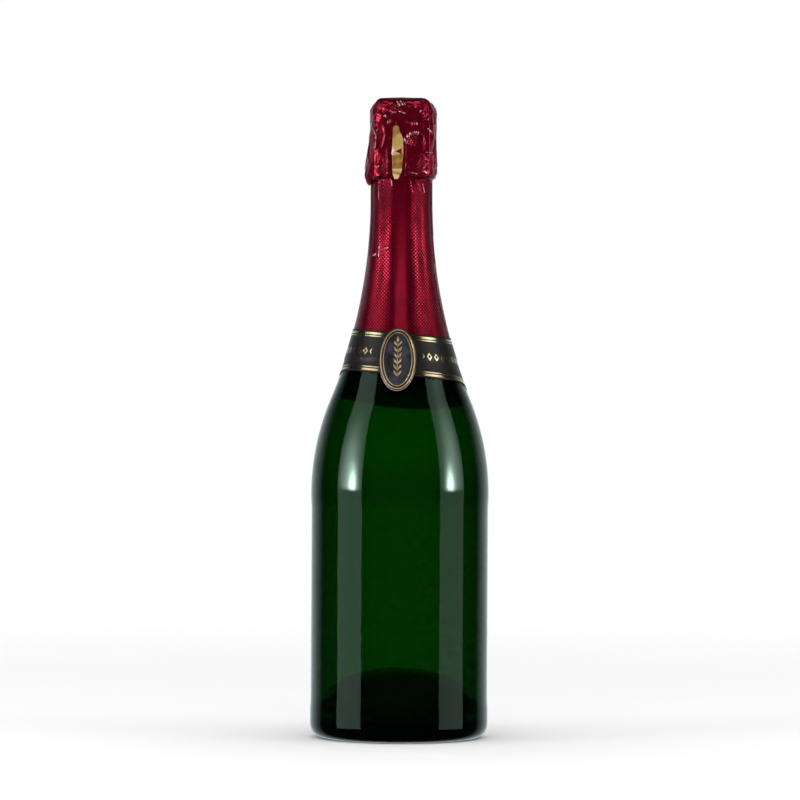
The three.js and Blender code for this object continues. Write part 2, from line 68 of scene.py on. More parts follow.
# Sizes read from the frame
BODY_RADIUS = reach("glass_bottle", 0)[1]
GLASS_TOP = reach("glass_bottle", 2)[1]
WINE_TOP = reach("wine", 2)[1]
CORK_TOP = reach("cork_body", 2)[1]
PLAQUE_TOP = reach("muselet_plaque", 2)[1]
HOOD_TOP = reach("foil_hood", 2)[1]
SLEEVE_BOTTOM, SLEEVE_TOP = reach("foil_sleeve", 2)
TAB_BOTTOM, TAB_TOP = reach("pull_tab", 2)
MEDALLION_BOTTOM, MEDALLION_TOP = reach("medallion", 2)
TAB_MIDDLE_Z = (TAB_BOTTOM + TAB_TOP) / 2
MEDALLION_MIDDLE_Z = (MEDALLION_BOTTOM + MEDALLION_TOP) / 2

# Glass
FLARE_Z = GLASS_TOP - 33.7
SHOULDER_Z = GLASS_TOP - 179
PANEL_TOP_Z = GLASS_TOP - 187
PANEL_EDGE = 7
PANEL_RECESS = 0.3
HEEL_BAND = 20
HEEL_ARC = 8
STANDING_RING = 3.6
NECK_RADIUS = 15
SHOULDER_ARC = 122
BODY_WALL = 4
BORE_RADIUS = 8.75
NECK_BORE_RADIUS = 9.3
MOUTH_CHAMFER = 0.7
PUNT_DEPTH = 28
BASE_THICKNESS = 7.5
DOME_RISE = 0.45
DOME_FOOT = 0.87
DOME_CROWN = 0.55
VALLEY_HEIGHT = 8.5
VALLEY_ARC = 9
LIP_RADIUS = 14.3
LIP_HEIGHT = 6
LIP_ROUND = 1.2
LIP_GROOVE = 0.8
COLLAR_RADIUS = 16.6
COLLAR_BOTTOM_Z = GLASS_TOP - 18.5
COLLAR_TOP_Z = COLLAR_BOTTOM_Z + 9.4
COLLAR_CHAMFER = 0.9
THROAT_RADIUS = 14.2
THROAT_HEIGHT = 6
THROAT_TAPER = 5
CORNER_EASE = 0.6
WINE_OVERLAP = 0.3
SHOULDER_THINNING = 0.5
THINNING_RISE = 22
THINNING_BELOW = 15
THINNING_ABOVE = 10
# Cork
CORK_HEAD_RADIUS = 14.5
CORK_HEAD_HEIGHT = 14.2
CORK_HEAD_ROUND = 2.8
CORK_UNDERCUT = 0.9
CORK_SHANK = 12
CORK_DISC = 6
CORK_DISC_ROUND = 0.35
CORK_GAP = 0.15
# Plaque and wire
PLAQUE_RADIUS = 14.7
PLAQUE_THICKNESS = 0.3
PLAQUE_STEP = 0.6
PLAQUE_RIM_DROP = 2.4
PLAQUE_ROUND = 0.3
GROOVE_RADIUS = 10.55
GROOVE_WIDTH = 2.7
WIRE = 0.8
WIRE_GAP = 0.2
LEG_ANGLES = (45, 135, 225, 315)
LEG_TWISTS = 5
EYELET_RADIUS = 1
BELT_Z = COLLAR_BOTTOM_Z - WIRE_GAP - EYELET_RADIUS - WIRE / 2
THROAT_GAP = 0.3
BELT_RADIUS = THROAT_RADIUS + THROAT_GAP + EYELET_RADIUS + WIRE / 2
STEM_ANGLE = -60
STEM_TWISTS = 1.5
KEY_ANGLE = -92
KEY_HALF_LENGTH = 6.6
KEY_HALF_HEIGHT = 2.9
# Foil
FOIL_THICKNESS = 0.12
KEY_HEM_DROP = 3.2
SLEEVE_STAND_OFF = 0.35
SKIRT_HEIGHT = 1.2
SKIRT_RADIUS = COLLAR_RADIUS + 0.5
SEAM_LAP = 9
# Label and medallion
LABEL_TOP_Z = GLASS_TOP - 99.25
LABEL_HEIGHT = 21
LABEL_THICKNESS = 0.25
LABEL_GAP = 0.15
LABEL_TILT = 5.3
LABEL_TOP_DROOP = 1.5
LABEL_BOTTOM_DROOP = 23.5
LABEL_DROOP_POWER = 3.1
LABEL_DROOP_ANGLE = 176
LABEL_LAP = 18
# Heights from the sleeve's bottom between which the label steps on to the foil
LABEL_STEP = (-4, -1)
MEDALLION_WIDTH = 18.8
MEDALLION_ANGLE = -3
# Pull tab
TAB_ANGLE = -6.1
TAB_THICKNESS = 0.15
TAB_STAND_OFF = 0.25
ARROW_TIP = -1.26
ARROW_UP = 0.55
ARROW_LENGTH = 3.1
ARROW_SLOPE = 0.5
ARROW_EDGE = 0.05
# Label print, as distances from an edge
LABEL_THICK_LINE = (1.0, 2.05)
LABEL_THIN_LINE = (2.6, 3.1)
LOZENGE_PITCH = 4.2
LOZENGE_HALF_WIDTH = 1.5
LOZENGE_HALF_HEIGHT = 1.9
LOZENGE_HOLLOW = 0.55
LOZENGE_MIDDLE = -2
LOZENGE_CLEARANCE = 13
PRINT_EDGE = 0.08
# The largest part of a side that a rounded corner takes, and the last place short of a line's end
CORNER_PART = 0.45
LAST_SHARE = 0.999999
# Facets
TURN_STEPS = 180
CORK_STEPS = 120
ARC_STEPS = 70
HEEL_STEPS = 18
VALLEY_STEPS = 14
KEY_STEPS = 60
STEM_STEPS = 24


def polar(radius, angle, z):
    """The point at a radius, an angle in radians from the front, and a height"""
    return Vector((radius * math.sin(angle), -radius * math.cos(angle), z))


def turns(steps):
    """Even angles once round, in radians"""
    return [2 * math.pi * k / steps for k in range(steps)]


def smooth(value, low, high):
    """0 below low, 1 above high, and an eased step between"""
    share = min(max((value - low) / (high - low), 0), 1)
    return share * share * (3 - 2 * share)


def bezier(corners, steps):
    """Points of a bezier curve through its first and last corner"""
    line = []
    for i in range(steps + 1):
        points = [Vector(corner) for corner in corners]
        while len(points) > 1:
            points = [a.lerp(b, i / steps) for a, b in zip(points, points[1:])]
        line.append(tuple(points[0]))
    return line


def rounded(points, radius, steps=5):
    """A line of points with its corners eased by short curves"""
    corners = [Vector(point) for point in points]
    line = [points[0]]
    for before, corner, after in zip(corners, corners[1:], corners[2:]):
        back = before - corner
        ahead = after - corner
        start = corner + back.normalized() * min(radius, back.length * CORNER_PART)
        end = corner + ahead.normalized() * min(radius, ahead.length * CORNER_PART)
        line += bezier([start, corner, end], steps)
    return line + [points[-1]]


def spline(points, share):
    """A place on a smooth curve through points, where share runs from 0 to 1"""
    place = min(share, LAST_SHARE) * (len(points) - 1)
    i = int(place)
    t = place - i
    picked = [points[min(max(i + k, 0), len(points) - 1)] for k in (-1, 0, 1, 2)]
    a, b, c, d = [Vector(point) for point in picked]
    return (b * 2 + (c - a) * t + (a * 2 - b * 5 + c * 4 - d) * t**2 + (b * 3 - a - c * 3 + d) * t**3) / 2


def shoulder_radius(z, neck=NECK_RADIUS, body=BODY_RADIUS, round_arc=SHOULDER_ARC):
    """Radius between neck and body: a hollow arc that touches a round shoulder arc"""
    across = body - neck
    down = FLARE_Z - SHOULDER_Z
    hollow_arc = (across**2 + down**2) / (2 * across) - round_arc
    touch_z = FLARE_Z - hollow_arc * math.sin(2 * math.atan2(across, down))
    if z >= FLARE_Z:
        return neck
    if z <= SHOULDER_Z:
        return body
    if z > touch_z:
        return neck + hollow_arc - math.sqrt(hollow_arc**2 - (FLARE_Z - z) ** 2)
    return body - round_arc + math.sqrt(round_arc**2 - (z - SHOULDER_Z) ** 2)


def shoulder_line(**sizes):
    heights = [FLARE_Z + (SHOULDER_Z - FLARE_Z) * i / ARC_STEPS for i in range(ARC_STEPS + 1)]
    return [(shoulder_radius(z, **sizes), z) for z in heights]


def added(name, data):
    """A new object in the scene"""
    piece = bpy.data.objects.new(name, data)
    bpy.context.scene.collection.objects.link(piece)
    return piece


def finished(name, mesh, materials):
    """Merges a mesh's doubled points, turns its faces out, shades it smooth and makes it an object"""
    work = bmesh.new()
    work.from_mesh(mesh)
    bmesh.ops.remove_doubles(work, verts=work.verts, dist=1e-7)
    bmesh.ops.dissolve_degenerate(work, edges=work.edges, dist=1e-8)
    bmesh.ops.recalc_face_normals(work, faces=work.faces)
    work.to_mesh(mesh)
    work.free()
    for material in materials:
        mesh.materials.append(material)
    mesh.polygons.foreach_set("use_smooth", [True] * len(mesh.polygons))
    return added(name, mesh)


def solid(name, points, faces, materials, slots=None):
    """A closed piece from points in millimetres"""
    mesh = bpy.data.meshes.new(name)
    mesh.from_pydata([Vector(point) * MM for point in points], [], faces)
    if slots:
        mesh.polygons.foreach_set("material_index", slots)
    return finished(name, mesh, materials)


def bands(rings, count):
    """Faces between closed rings of points"""
    faces = []
    for i in range(rings - 1):
        for k in range(count):
            a = i * count + k
            b = i * count + (k + 1) % count
            faces.append((a, b, b + count, a + count))
    return faces


def turned(name, outline, material, steps=TURN_STEPS):
    """A piece turned from an outline of radius and height that starts and ends on the axis"""
    points = [polar(radius, turn, z) for radius, z in outline for turn in turns(steps)]
    return solid(name, points, bands(len(outline), steps), [material])


def shell(name, grid, materials, layers, wrap=False, back_slot=0):
    """A thin closed sheet from rows of cells: a front point, a back point and a spot in each flat layout"""
    rows = len(grid)
    columns = len(grid[0])
    steps = columns if wrap else columns - 1
    cells = [cell for row in grid for cell in row]
    behind = rows * columns
    faces = []
    slots = []
    for i in range(rows - 1):
        for k in range(steps):
            a = i * columns + k
            b = i * columns + (k + 1) % columns
            faces.append((a, b, b + columns, a + columns))
            faces.append((behind + a, behind + a + columns, behind + b + columns, behind + b))
            slots += [0, back_slot]
    edges = []
    for i in (0, rows - 1):
        edges += [(i * columns + k, i * columns + (k + 1) % columns) for k in range(steps)]
    if not wrap:
        for k in (0, columns - 1):
            edges += [(i * columns + k, (i + 1) * columns + k) for i in range(rows - 1)]
    faces += [(a, b, behind + b, behind + a) for a, b in edges]
    slots += [0] * len(edges)
    points = [cell[0] for cell in cells] + [cell[1] for cell in cells]
    piece = solid(name, points, faces, materials, slots)
    for i, layer in enumerate(layers):
        lay_flat(piece, [cell[2 + i] for cell in cells], layer)
    return piece


def lay_out(piece, mapping):
    """A flat layout of a wrapped piece: mapping turns an angle in radians and a height into millimetres"""
    mesh = piece.data
    layer = mesh.uv_layers.new(name="skin")
    for face in mesh.polygons:
        middle = math.atan2(face.center.x, -face.center.y)
        for corner in face.loop_indices:
            spot = mesh.vertices[mesh.loops[corner].vertex_index].co / MM
            angle = math.atan2(spot.x, -spot.y)
            angle += 2 * math.pi * round((middle - angle) / (2 * math.pi))
            layer.data[corner].uv = mapping(angle, spot.z)


def lay_flat(piece, spots, name):
    """A flat layout given for each point of a sheet's front, which its back shares"""
    mesh = piece.data
    layer = mesh.uv_layers.new(name=name)
    for loop, corner in zip(mesh.loops, layer.data):
        corner.uv = spots[loop.vertex_index % len(spots)]


def wires(name, paths, material, closed):
    """Round wires along lists of points"""
    curve = bpy.data.curves.new(name, "CURVE")
    curve.dimensions = "3D"
    curve.bevel_depth = WIRE / 2 * MM
    curve.bevel_resolution = 4
    curve.use_fill_caps = True
    for path, loop in zip(paths, closed):
        thread = curve.splines.new("POLY")
        thread.points.add(len(path) - 1)
        for spot, place in zip(thread.points, path):
            spot.co = (*(place * MM), 1)
        thread.use_cyclic_u = loop
        thread.use_smooth = True
    curve.materials.append(material)
    return added(name, curve)


# Shader helpers


def new_material(name):
    """A material with its node tree and its main shader"""
    material = bpy.data.materials.new(name)
    material.use_nodes = True
    tree = material.node_tree
    shader = tree.nodes["Principled BSDF"]
    return material, tree, shader


def settle(tree, made, inputs):
    """Sets or links a node's inputs"""
    for key, value in inputs.items():
        if isinstance(value, bpy.types.NodeSocket):
            tree.links.new(value, made.inputs[key])
        else:
            made.inputs[key].default_value = value
    return made


def node(tree, kind, inputs=None, **attributes):
    made = tree.nodes.new("ShaderNode" + kind)
    for key, value in attributes.items():
        setattr(made, key, value)
    return settle(tree, made, inputs or {})


def calc(tree, operation, *values):
    """The result of a Math node"""
    inputs = dict(enumerate(values))
    return node(tree, "Math", inputs, operation=operation).outputs[0]


def blend(tree, share, first, second):
    """A colour between two"""
    inputs = {0: share, 6: first, 7: second}
    return node(tree, "Mix", inputs, data_type="RGBA").outputs[2]


def spread(tree, value, low, high, to_low, to_high, eased=False):
    """A value moved from one span to another, held at its ends"""
    inputs = {"Value": value, "From Min": low, "From Max": high, "To Min": to_low, "To Max": to_high}
    kind = "SMOOTHSTEP" if eased else "LINEAR"
    return node(tree, "MapRange", inputs, interpolation_type=kind).outputs[0]


def place(tree):
    """Position on the object, in metres"""
    return node(tree, "TexCoord").outputs["Object"]


def axes(tree):
    """Position on the object along x, y and z, in metres"""
    return node(tree, "SeparateXYZ", {0: place(tree)}).outputs


def layout(tree, name="skin"):
    """Position in a piece's flat layout, in millimetres, across and along"""
    spot = node(tree, "UVMap", uv_map=name).outputs[0]
    parts = node(tree, "SeparateXYZ", {0: spot})
    return parts.outputs[0], parts.outputs[1]


def grain(tree, scale, detail=4.0, stretch=(1, 1, 1), roughness=0.55):
    """Noise over the object, with its scale per metre"""
    mapping = node(tree, "Mapping", {"Vector": place(tree), "Scale": stretch})
    inputs = {"Vector": mapping.outputs[0], "Scale": scale, "Detail": detail, "Roughness": roughness}
    return node(tree, "TexNoise", inputs).outputs[0]


def away_from(tree, value, middle):
    """How far a value is from a middle"""
    return calc(tree, "ABSOLUTE", calc(tree, "SUBTRACT", value, middle))


def ragged_edge(tree):
    """Noise about 0 that makes a border ragged"""
    return spread(tree, grain(tree, 300, 3.0), 0.3, 0.7, -0.4, 0.4)


def bump(tree, height, distance_mm, strength=1.0, after=None):
    inputs = {"Height": height, "Distance": distance_mm * MM, "Strength": strength}
    if after:
        inputs["Normal"] = after
    return node(tree, "Bump", inputs).outputs[0]


# Materials

WHITE = (1, 1, 1, 1)
# The glass mirrors green a little more than red
GLASS_SHEEN = (0.85, 1.24, 1.04, 1)
GLASS_GREEN = (0.10, 0.59, 0.01, 1)
GLASS_DENSITY = 1040.0
GLASS_IOR = 1.52
WINE_YELLOW = (0.9, 0.8, 0.3, 1)
WINE_DENSITY = 8.0
WINE_IOR = 1.345


def see_through(name, ior, colour, density):
    """A clear material that colours the light on its way through"""
    material, tree, shader = new_material(name)
    settle(tree, shader, {"Base Color": WHITE, "Transmission Weight": 1.0, "IOR": ior})
    absorption = node(tree, "VolumeAbsorption", {"Color": colour, "Density": density})
    tree.links.new(absorption.outputs[0], tree.nodes["Material Output"].inputs["Volume"])
    return material, tree, shader


def green_glass():
    material, tree, shader = see_through("green_glass", GLASS_IOR, GLASS_GREEN, GLASS_DENSITY)
    settle(tree, shader, {
        "Specular Tint": GLASS_SHEEN,
        "Roughness": spread(tree, grain(tree, 300, 5.0), 0.45, 0.75, 0.0, 0.03),
        "Normal": bump(tree, grain(tree, 45, 2.0), 0.25, 0.35),
    })
    return material


def pale_wine():
    material, tree, shader = see_through("pale_wine", WINE_IOR, WINE_YELLOW, WINE_DENSITY)
    settle(tree, shader, {"Roughness": spread(tree, grain(tree, 200), 0.4, 0.8, 0.0, 0.01)})
    return material


def ground_cork():
    material, tree, shader = new_material("ground_cork")
    cells = {"Vector": place(tree), "Scale": 420.0, "Randomness": 1.0}
    crumbs = node(tree, "TexVoronoi", cells)
    edges = node(tree, "TexVoronoi", cells, feature="DISTANCE_TO_EDGE").outputs["Distance"]
    shade = node(tree, "SeparateColor", {0: crumbs.outputs["Color"]}).outputs[0]
    colour = blend(tree, shade, (0.50, 0.30, 0.15, 1), (0.72, 0.52, 0.32, 1))
    glue = spread(tree, edges, 0.0, 0.09, 0.45, 0.0)
    colour = blend(tree, glue, colour, (0.16, 0.08, 0.035, 1))
    pores = spread(tree, grain(tree, 1500, 3.0), 0.62, 0.72, 0.0, 0.55)
    colour = blend(tree, pores, colour, (0.20, 0.10, 0.05, 1))
    hollow = calc(tree, "SUBTRACT", spread(tree, edges, 0.0, 0.12, 0.0, 1.0), pores)
    settle(tree, shader, {
        "Base Color": colour,
        "Roughness": spread(tree, shade, 0, 1, 0.7, 0.9),
        "Normal": bump(tree, hollow, 0.12, 0.8),
    })
    return material


def natural_cork():
    material, tree, shader = new_material("natural_cork")
    streaks = grain(tree, 260, 6.0, (1, 1, 3.5))
    pores = spread(tree, grain(tree, 420, 3.0, (1, 3, 1.2)), 0.60, 0.68, 0.0, 0.85)
    colour = blend(tree, streaks, (0.52, 0.30, 0.13, 1), (0.80, 0.58, 0.34, 1))
    colour = blend(tree, pores, colour, (0.15, 0.07, 0.03, 1))
    settle(tree, shader, {
        "Base Color": colour,
        "Roughness": spread(tree, streaks, 0, 1, 0.75, 0.92),
        "Normal": bump(tree, calc(tree, "SUBTRACT", streaks, pores), 0.15, 0.7),
    })
    return material


def plaque_lacquer():
    material, tree, shader = new_material("plaque_lacquer")
    wear = grain(tree, 180, 6.0)
    settle(tree, shader, {
        "Base Color": blend(tree, wear, (0.80, 0.56, 0.20, 1), (0.66, 0.43, 0.13, 1)),
        "Metallic": 1.0,
        "Roughness": spread(tree, grain(tree, 2200, 3.0, (1, 1, 0.2)), 0.3, 0.7, 0.18, 0.34),
        "Coat Weight": 0.4,
        "Coat Roughness": 0.1,
        "Normal": bump(tree, wear, 0.03, 0.4),
    })
    return material


def galvanised_wire():
    material, tree, shader = new_material("galvanised_wire")
    mottle = grain(tree, 900, 4.0)
    settle(tree, shader, {
        "Base Color": blend(tree, mottle, (0.70, 0.71, 0.73, 1), (0.50, 0.51, 0.53, 1)),
        "Metallic": 1.0,
        "Roughness": spread(tree, mottle, 0.3, 0.7, 0.22, 0.42),
        "Normal": bump(tree, grain(tree, 4000, 2.0), 0.02, 0.4),
    })
    return material


RED_LIGHT = (0.29, 0.0013, 0.021, 1)
RED_DARK = (0.21, 0.0008, 0.015, 1)
# Dark red painted into the grooves of the pressed diamonds: painted shade
GROOVE_SHADE_RED = (0.030, 0.0005, 0.003, 1)
# Pale pink painted on the crests of folds and on pips: a painted highlight for the glints of crumpled foil
CREST_HIGHLIGHT_COLOUR = (0.93, 0.74, 0.80, 1)
GROOVE_SHADE_SHARE = 0.88
EMBOSS_PITCH = 1.8
EMBOSS_DEPTH = 0.16
SMOOTH_FRONT = (2.2, 5.0)
# Where the hood's pressed diamonds are left: middle across and up, half width and half height
HOOD_PATCHES = [
    (-1, 312.6, 4.5, 3), (6.3, 296.5, 6, 3.8), (10, 284, 3.4, 5), (-7.4, 286, 2.2, 2.2),
    (-11.5, 300.8, 2.2, 2.5), (11.7, 308.3, 2.2, 3.2), (-9.5, 281, 3, 2.5),
]
PATCH_DEPTH = 0.22
# The patches end between these places behind the front
PATCH_FRONT = (-5, -2)
FOIL_TINT = (0.75, 0.42, 0.52, 1)
SLEEVE_TINT = (0.95, 0.80, 0.90, 1)
FOIL_METALLIC = 0.77
# How metallic the foil is under the painted highlight on fold crests
CREST_HIGHLIGHT_METALLIC = 0.25
GOLD_LIGHT = (0.82, 0.63, 0.24, 1)
GOLD_DARK = (0.70, 0.50, 0.15, 1)


def foil_coat(tree, shader, colour, normal, coat, metallic=0.75, roughness=0.23):
    """Lacquered metal foil under a clear coat"""
    settle(tree, shader, {
        "Base Color": colour,
        "Metallic": metallic,
        "Roughness": spread(tree, grain(tree, 90, 5.0), 0.3, 0.7, roughness, roughness + 0.06),
        "Specular Tint": FOIL_TINT,
        "Coat Weight": coat,
        "Coat Roughness": 0.12,
        "Coat IOR": 1.5,
        "Coat Normal": normal,
        "Normal": normal,
    })


def diamonds(tree):
    """Height of small pressed diamonds over a flat layout, from 0 to 0.5"""
    across, along = layout(tree)
    rising = calc(tree, "DIVIDE", calc(tree, "ADD", across, along), EMBOSS_PITCH)
    falling = calc(tree, "DIVIDE", calc(tree, "SUBTRACT", across, along), EMBOSS_PITCH)
    first = calc(tree, "PINGPONG", rising, 0.5)
    second = calc(tree, "PINGPONG", falling, 0.5)
    return calc(tree, "MINIMUM", first, second)


def painted_crest_glints(tree):
    """Share of painted highlight on the crests of folds, and how metallic the foil stays under it"""
    patchy = spread(tree, grain(tree, 500, 3.0), 0.40, 0.58, 0.15, 1.0)
    crest_glint_share = calc(tree, "MULTIPLY", spread(tree, layout(tree, "crest")[0], 0.1, 0.6, 0.0, 1.0), patchy)
    return crest_glint_share, spread(tree, crest_glint_share, 0, 1, FOIL_METALLIC, CREST_HIGHLIGHT_METALLIC)


def red_lacquer(tree, height, worn, crest_glint_share):
    """Red that drifts a little, with painted shade in the pressed grooves and painted highlights on the
    crests of folds
    """
    red = blend(tree, grain(tree, 90, 5.0), RED_LIGHT, RED_DARK)
    # Painted shade in the grooves of the pressed diamonds
    groove_shade = calc(tree, "MULTIPLY", spread(tree, height, 0.08, 0.22, GROOVE_SHADE_SHARE, 0.0), worn)
    red = blend(tree, groove_shade, red, GROOVE_SHADE_RED)
    return blend(tree, crest_glint_share, red, CREST_HIGHLIGHT_COLOUR)


def embossed_red():
    """Red foil pressed with small diamonds, which are rubbed flat along the front"""
    material, tree, shader = new_material("embossed_red")
    worn = spread(tree, grain(tree, 60, 3.0), 0.35, 0.65, 0.6, 1.0)
    aside = calc(tree, "ABSOLUTE", axes(tree)[0])
    near, far = SMOOTH_FRONT
    worn = calc(tree, "MULTIPLY", worn, spread(tree, aside, near * MM, far * MM, 0.12, 1.0, eased=True))
    height = diamonds(tree)
    pressed = bump(tree, calc(tree, "MULTIPLY", height, worn), EMBOSS_DEPTH * 2)
    crest_glint_share, metallic = painted_crest_glints(tree)
    foil_coat(tree, shader, red_lacquer(tree, height, worn, crest_glint_share), pressed, 0.07, metallic, 0.17)
    settle(tree, shader, {"Specular IOR Level": 0.25, "Specular Tint": SLEEVE_TINT})
    return material


def in_patches(tree, patches):
    """1 inside a set of ragged ovals given in millimetres over the front"""
    aside, depth, height = axes(tree)
    ragged = ragged_edge(tree)
    share = 0.0
    for across, up, half_width, half_height in patches:
        away = ragged
        for value, middle, half in ((aside, across, half_width), (height, up, half_height)):
            part = calc(tree, "DIVIDE", calc(tree, "SUBTRACT", value, middle * MM), half * MM)
            away = calc(tree, "ADD", away, calc(tree, "POWER", part, 2.0))
        share = calc(tree, "MAXIMUM", share, spread(tree, away, 0.55, 1.1, 1.0, 0.0, eased=True))
    full, gone = PATCH_FRONT
    return calc(tree, "MULTIPLY", share, spread(tree, depth, full * MM, gone * MM, 1.0, 0.0))


def crumpled_red():
    """Red foil with fine crinkles, where the pressed diamonds are left in patches"""
    material, tree, shader = new_material("crumpled_red")
    height = diamonds(tree)
    faint = spread(tree, grain(tree, 110, 3.0), 0.44, 0.60, 0.0, 0.16)
    left_over = calc(tree, "MAXIMUM", faint, in_patches(tree, HOOD_PATCHES))
    pressed = bump(tree, calc(tree, "MULTIPLY", height, left_over), PATCH_DEPTH * 2)
    crinkle = bump(tree, grain(tree, 300, 3.0, (1, 1, 0.6)), 0.22, 0.36, pressed)
    crest_glint_share, metallic = painted_crest_glints(tree)
    grooved = calc(tree, "MULTIPLY", left_over, 0.6)
    foil_coat(tree, shader, red_lacquer(tree, height, grooved, crest_glint_share), crinkle, 0.2, metallic)
    return material


def gold_foil():
    """The gold lacquer on the foil's inner face"""
    material, tree, shader = new_material("gold_foil")
    gold = blend(tree, grain(tree, 90, 5.0), GOLD_LIGHT, GOLD_DARK)
    foil_coat(tree, shader, gold, bump(tree, grain(tree, 350, 4.0), 0.1, 0.4), 0.2)
    return material


def inside(tree, value, low, high):
    """1 where a value lies between two limits, with the print's soft edge"""
    half = (high - low) / 2
    away = away_from(tree, value, (low + high) / 2)
    return spread(tree, away, half - PRINT_EDGE / 2, half + PRINT_EDGE / 2, 1.0, 0.0)


# Painted light and shade down the tab for how its bent facets catch the light, from a shaded tip: the height
# where each begins, its border's lean and softness, and the tone
TAB_TIP_SHADE = (0.30, 0.11, 0.03, 1)
TAB_PAINTED_SHADING = [
    (9.2, 0.8, 0.9, (0.55, 0.35, 0.11, 1)), (2.2, 0.0, 1.2, (0.66, 0.44, 0.18, 1)),
    (-1.0, 0.2, 0.35, (0.27, 0.10, 0.012, 1)), (-3.4, 0.3, 0.6, (0.38, 0.16, 0.03, 1)),
    (-5.1, 0.1, 0.5, (0.27, 0.10, 0.012, 1)), (-8.05, 0.0, 0.2, (0.72, 0.53, 0.20, 1)),
    (-9.6, -0.2, 0.4, (0.33, 0.20, 0.06, 1)), (-11.1, -0.3, 0.4, (0.84, 0.58, 0.30, 1)),
]
# A cream painted highlight on the bent crease at the tab's left
TAB_CREASE_HIGHLIGHT = (0.98, 0.92, 0.84, 1)
TAB_CREASE_UP = 0.9
TAB_CREASE_SLOPE = 0.55
TAB_CREASE_EDGE = (-2.3, -1.1)
ARROW_RED = (0.13, 0.004, 0.004, 1)


def arrowhead(tree, across, upward):
    """1 inside a small arrowhead that points left"""
    from_tip = calc(tree, "SUBTRACT", across, ARROW_TIP)
    slant = away_from(tree, upward, ARROW_UP)
    reach_in = calc(tree, "SUBTRACT", calc(tree, "MULTIPLY", from_tip, ARROW_SLOPE), slant)
    sides = spread(tree, reach_in, -ARROW_EDGE, ARROW_EDGE, 0.0, 1.0)
    end = spread(tree, from_tip, ARROW_LENGTH - ARROW_EDGE, ARROW_LENGTH + ARROW_EDGE, 1.0, 0.0)
    return calc(tree, "MULTIPLY", sides, end)


def tab_shading(tree, across, upward):
    """Painted light and shade down the tab's gold, and a painted highlight on the crease at its left"""
    gold = TAB_TIP_SHADE
    ragged = ragged_edge(tree)
    for height, lean, edge, tone in TAB_PAINTED_SHADING:
        border = calc(tree, "SUBTRACT", upward, calc(tree, "MULTIPLY", across, lean))
        border = calc(tree, "ADD", border, calc(tree, "MULTIPLY", ragged, edge))
        gold = blend(tree, spread(tree, border, height - edge, height + edge, 1.0, 0.0), gold, tone)
    corner = calc(tree, "MULTIPLY", away_from(tree, upward, TAB_CREASE_UP), TAB_CREASE_SLOPE)
    corner = calc(tree, "ADD", corner, across)
    return blend(tree, spread(tree, corner, *TAB_CREASE_EDGE, 1.0, 0.0), gold, TAB_CREASE_HIGHLIGHT)


def tab_gold():
    """Gold foil with painted light and shade where it bends, and a printed red arrowhead"""
    material, tree, shader = new_material("tab_gold")
    across, upward = layout(tree)
    arrow = arrowhead(tree, across, upward)
    mottle = spread(tree, grain(tree, 420, 4.0, (1, 1, 0.35)), 0.35, 0.65, 0.0, 0.35)
    gold = blend(tree, mottle, tab_shading(tree, across, upward), GOLD_DARK)
    gold = blend(tree, arrow, gold, ARROW_RED)
    foil_coat(tree, shader, gold, bump(tree, grain(tree, 500, 4.0), 0.08, 0.4), 0.3)
    settle(tree, shader, {"Metallic": spread(tree, arrow, 0, 1, 0.35, 0.1), "Specular Tint": WHITE})
    return material


def label_print(tree):
    """1 on two lines along each of the label's edges and on a row of lozenges"""
    across, below = layout(tree)
    above = layout(tree, "lower")[1]
    gold = 0.0
    for distance in (below, above):
        for low, high in (LABEL_THICK_LINE, LABEL_THIN_LINE):
            gold = calc(tree, "MAXIMUM", gold, inside(tree, distance, low, high))
    cell = calc(tree, "FRACT", calc(tree, "DIVIDE", across, LOZENGE_PITCH))
    wide = calc(tree, "MULTIPLY", away_from(tree, cell, 0.5), LOZENGE_PITCH / LOZENGE_HALF_WIDTH)
    middle = calc(tree, "MULTIPLY", calc(tree, "SUBTRACT", below, above), 0.5)
    tall = calc(tree, "DIVIDE", calc(tree, "ABSOLUTE", middle), LOZENGE_HALF_HEIGHT)
    lozenge = inside(tree, calc(tree, "ADD", wide, tall), LOZENGE_HOLLOW, 1.0)
    clear = calc(tree, "GREATER_THAN", away_from(tree, across, LOZENGE_MIDDLE), LOZENGE_CLEARANCE)
    return calc(tree, "MAXIMUM", gold, calc(tree, "MULTIPLY", lozenge, clear))


def label_paper():
    """Charcoal paper with gold print"""
    material, tree, shader = new_material("label_paper")
    gold = label_print(tree)
    fibre = grain(tree, 900, 5.0)
    paper = blend(tree, fibre, (0.005, 0.0045, 0.004, 1), (0.014, 0.013, 0.012, 1))
    settle(tree, shader, {
        "Base Color": blend(tree, gold, paper, (0.88, 0.74, 0.42, 1)),
        "Metallic": spread(tree, gold, 0, 0.25, 0.0, 1.0),
        "Roughness": spread(tree, gold, 0, 1, 0.34, 0.14),
        "Specular IOR Level": 0.3,
        "Normal": bump(tree, calc(tree, "ADD", fibre, calc(tree, "MULTIPLY", gold, 1.5)), 0.02, 0.5),
    })
    return material


def dark_board(name, first, second, roughness):
    """Satin printed board, clouded between two tones"""
    material, tree, shader = new_material(name)
    cloud = spread(tree, grain(tree, 260, 5.0), 0.36, 0.64, 0.0, 1.0)
    settle(tree, shader, {
        "Base Color": blend(tree, cloud, first, second),
        "Roughness": spread(tree, grain(tree, 900, 4.0), 0.3, 0.7, roughness - 0.05, roughness + 0.05),
        "Normal": bump(tree, grain(tree, 700, 4.0), 0.04, 0.5),
    })
    return material


# Heights from the medallion's middle between which painted light and shade take its cut edge from pale below
# to dark above
EDGE_LIGHT_AND_SHADE = (-9, -4)


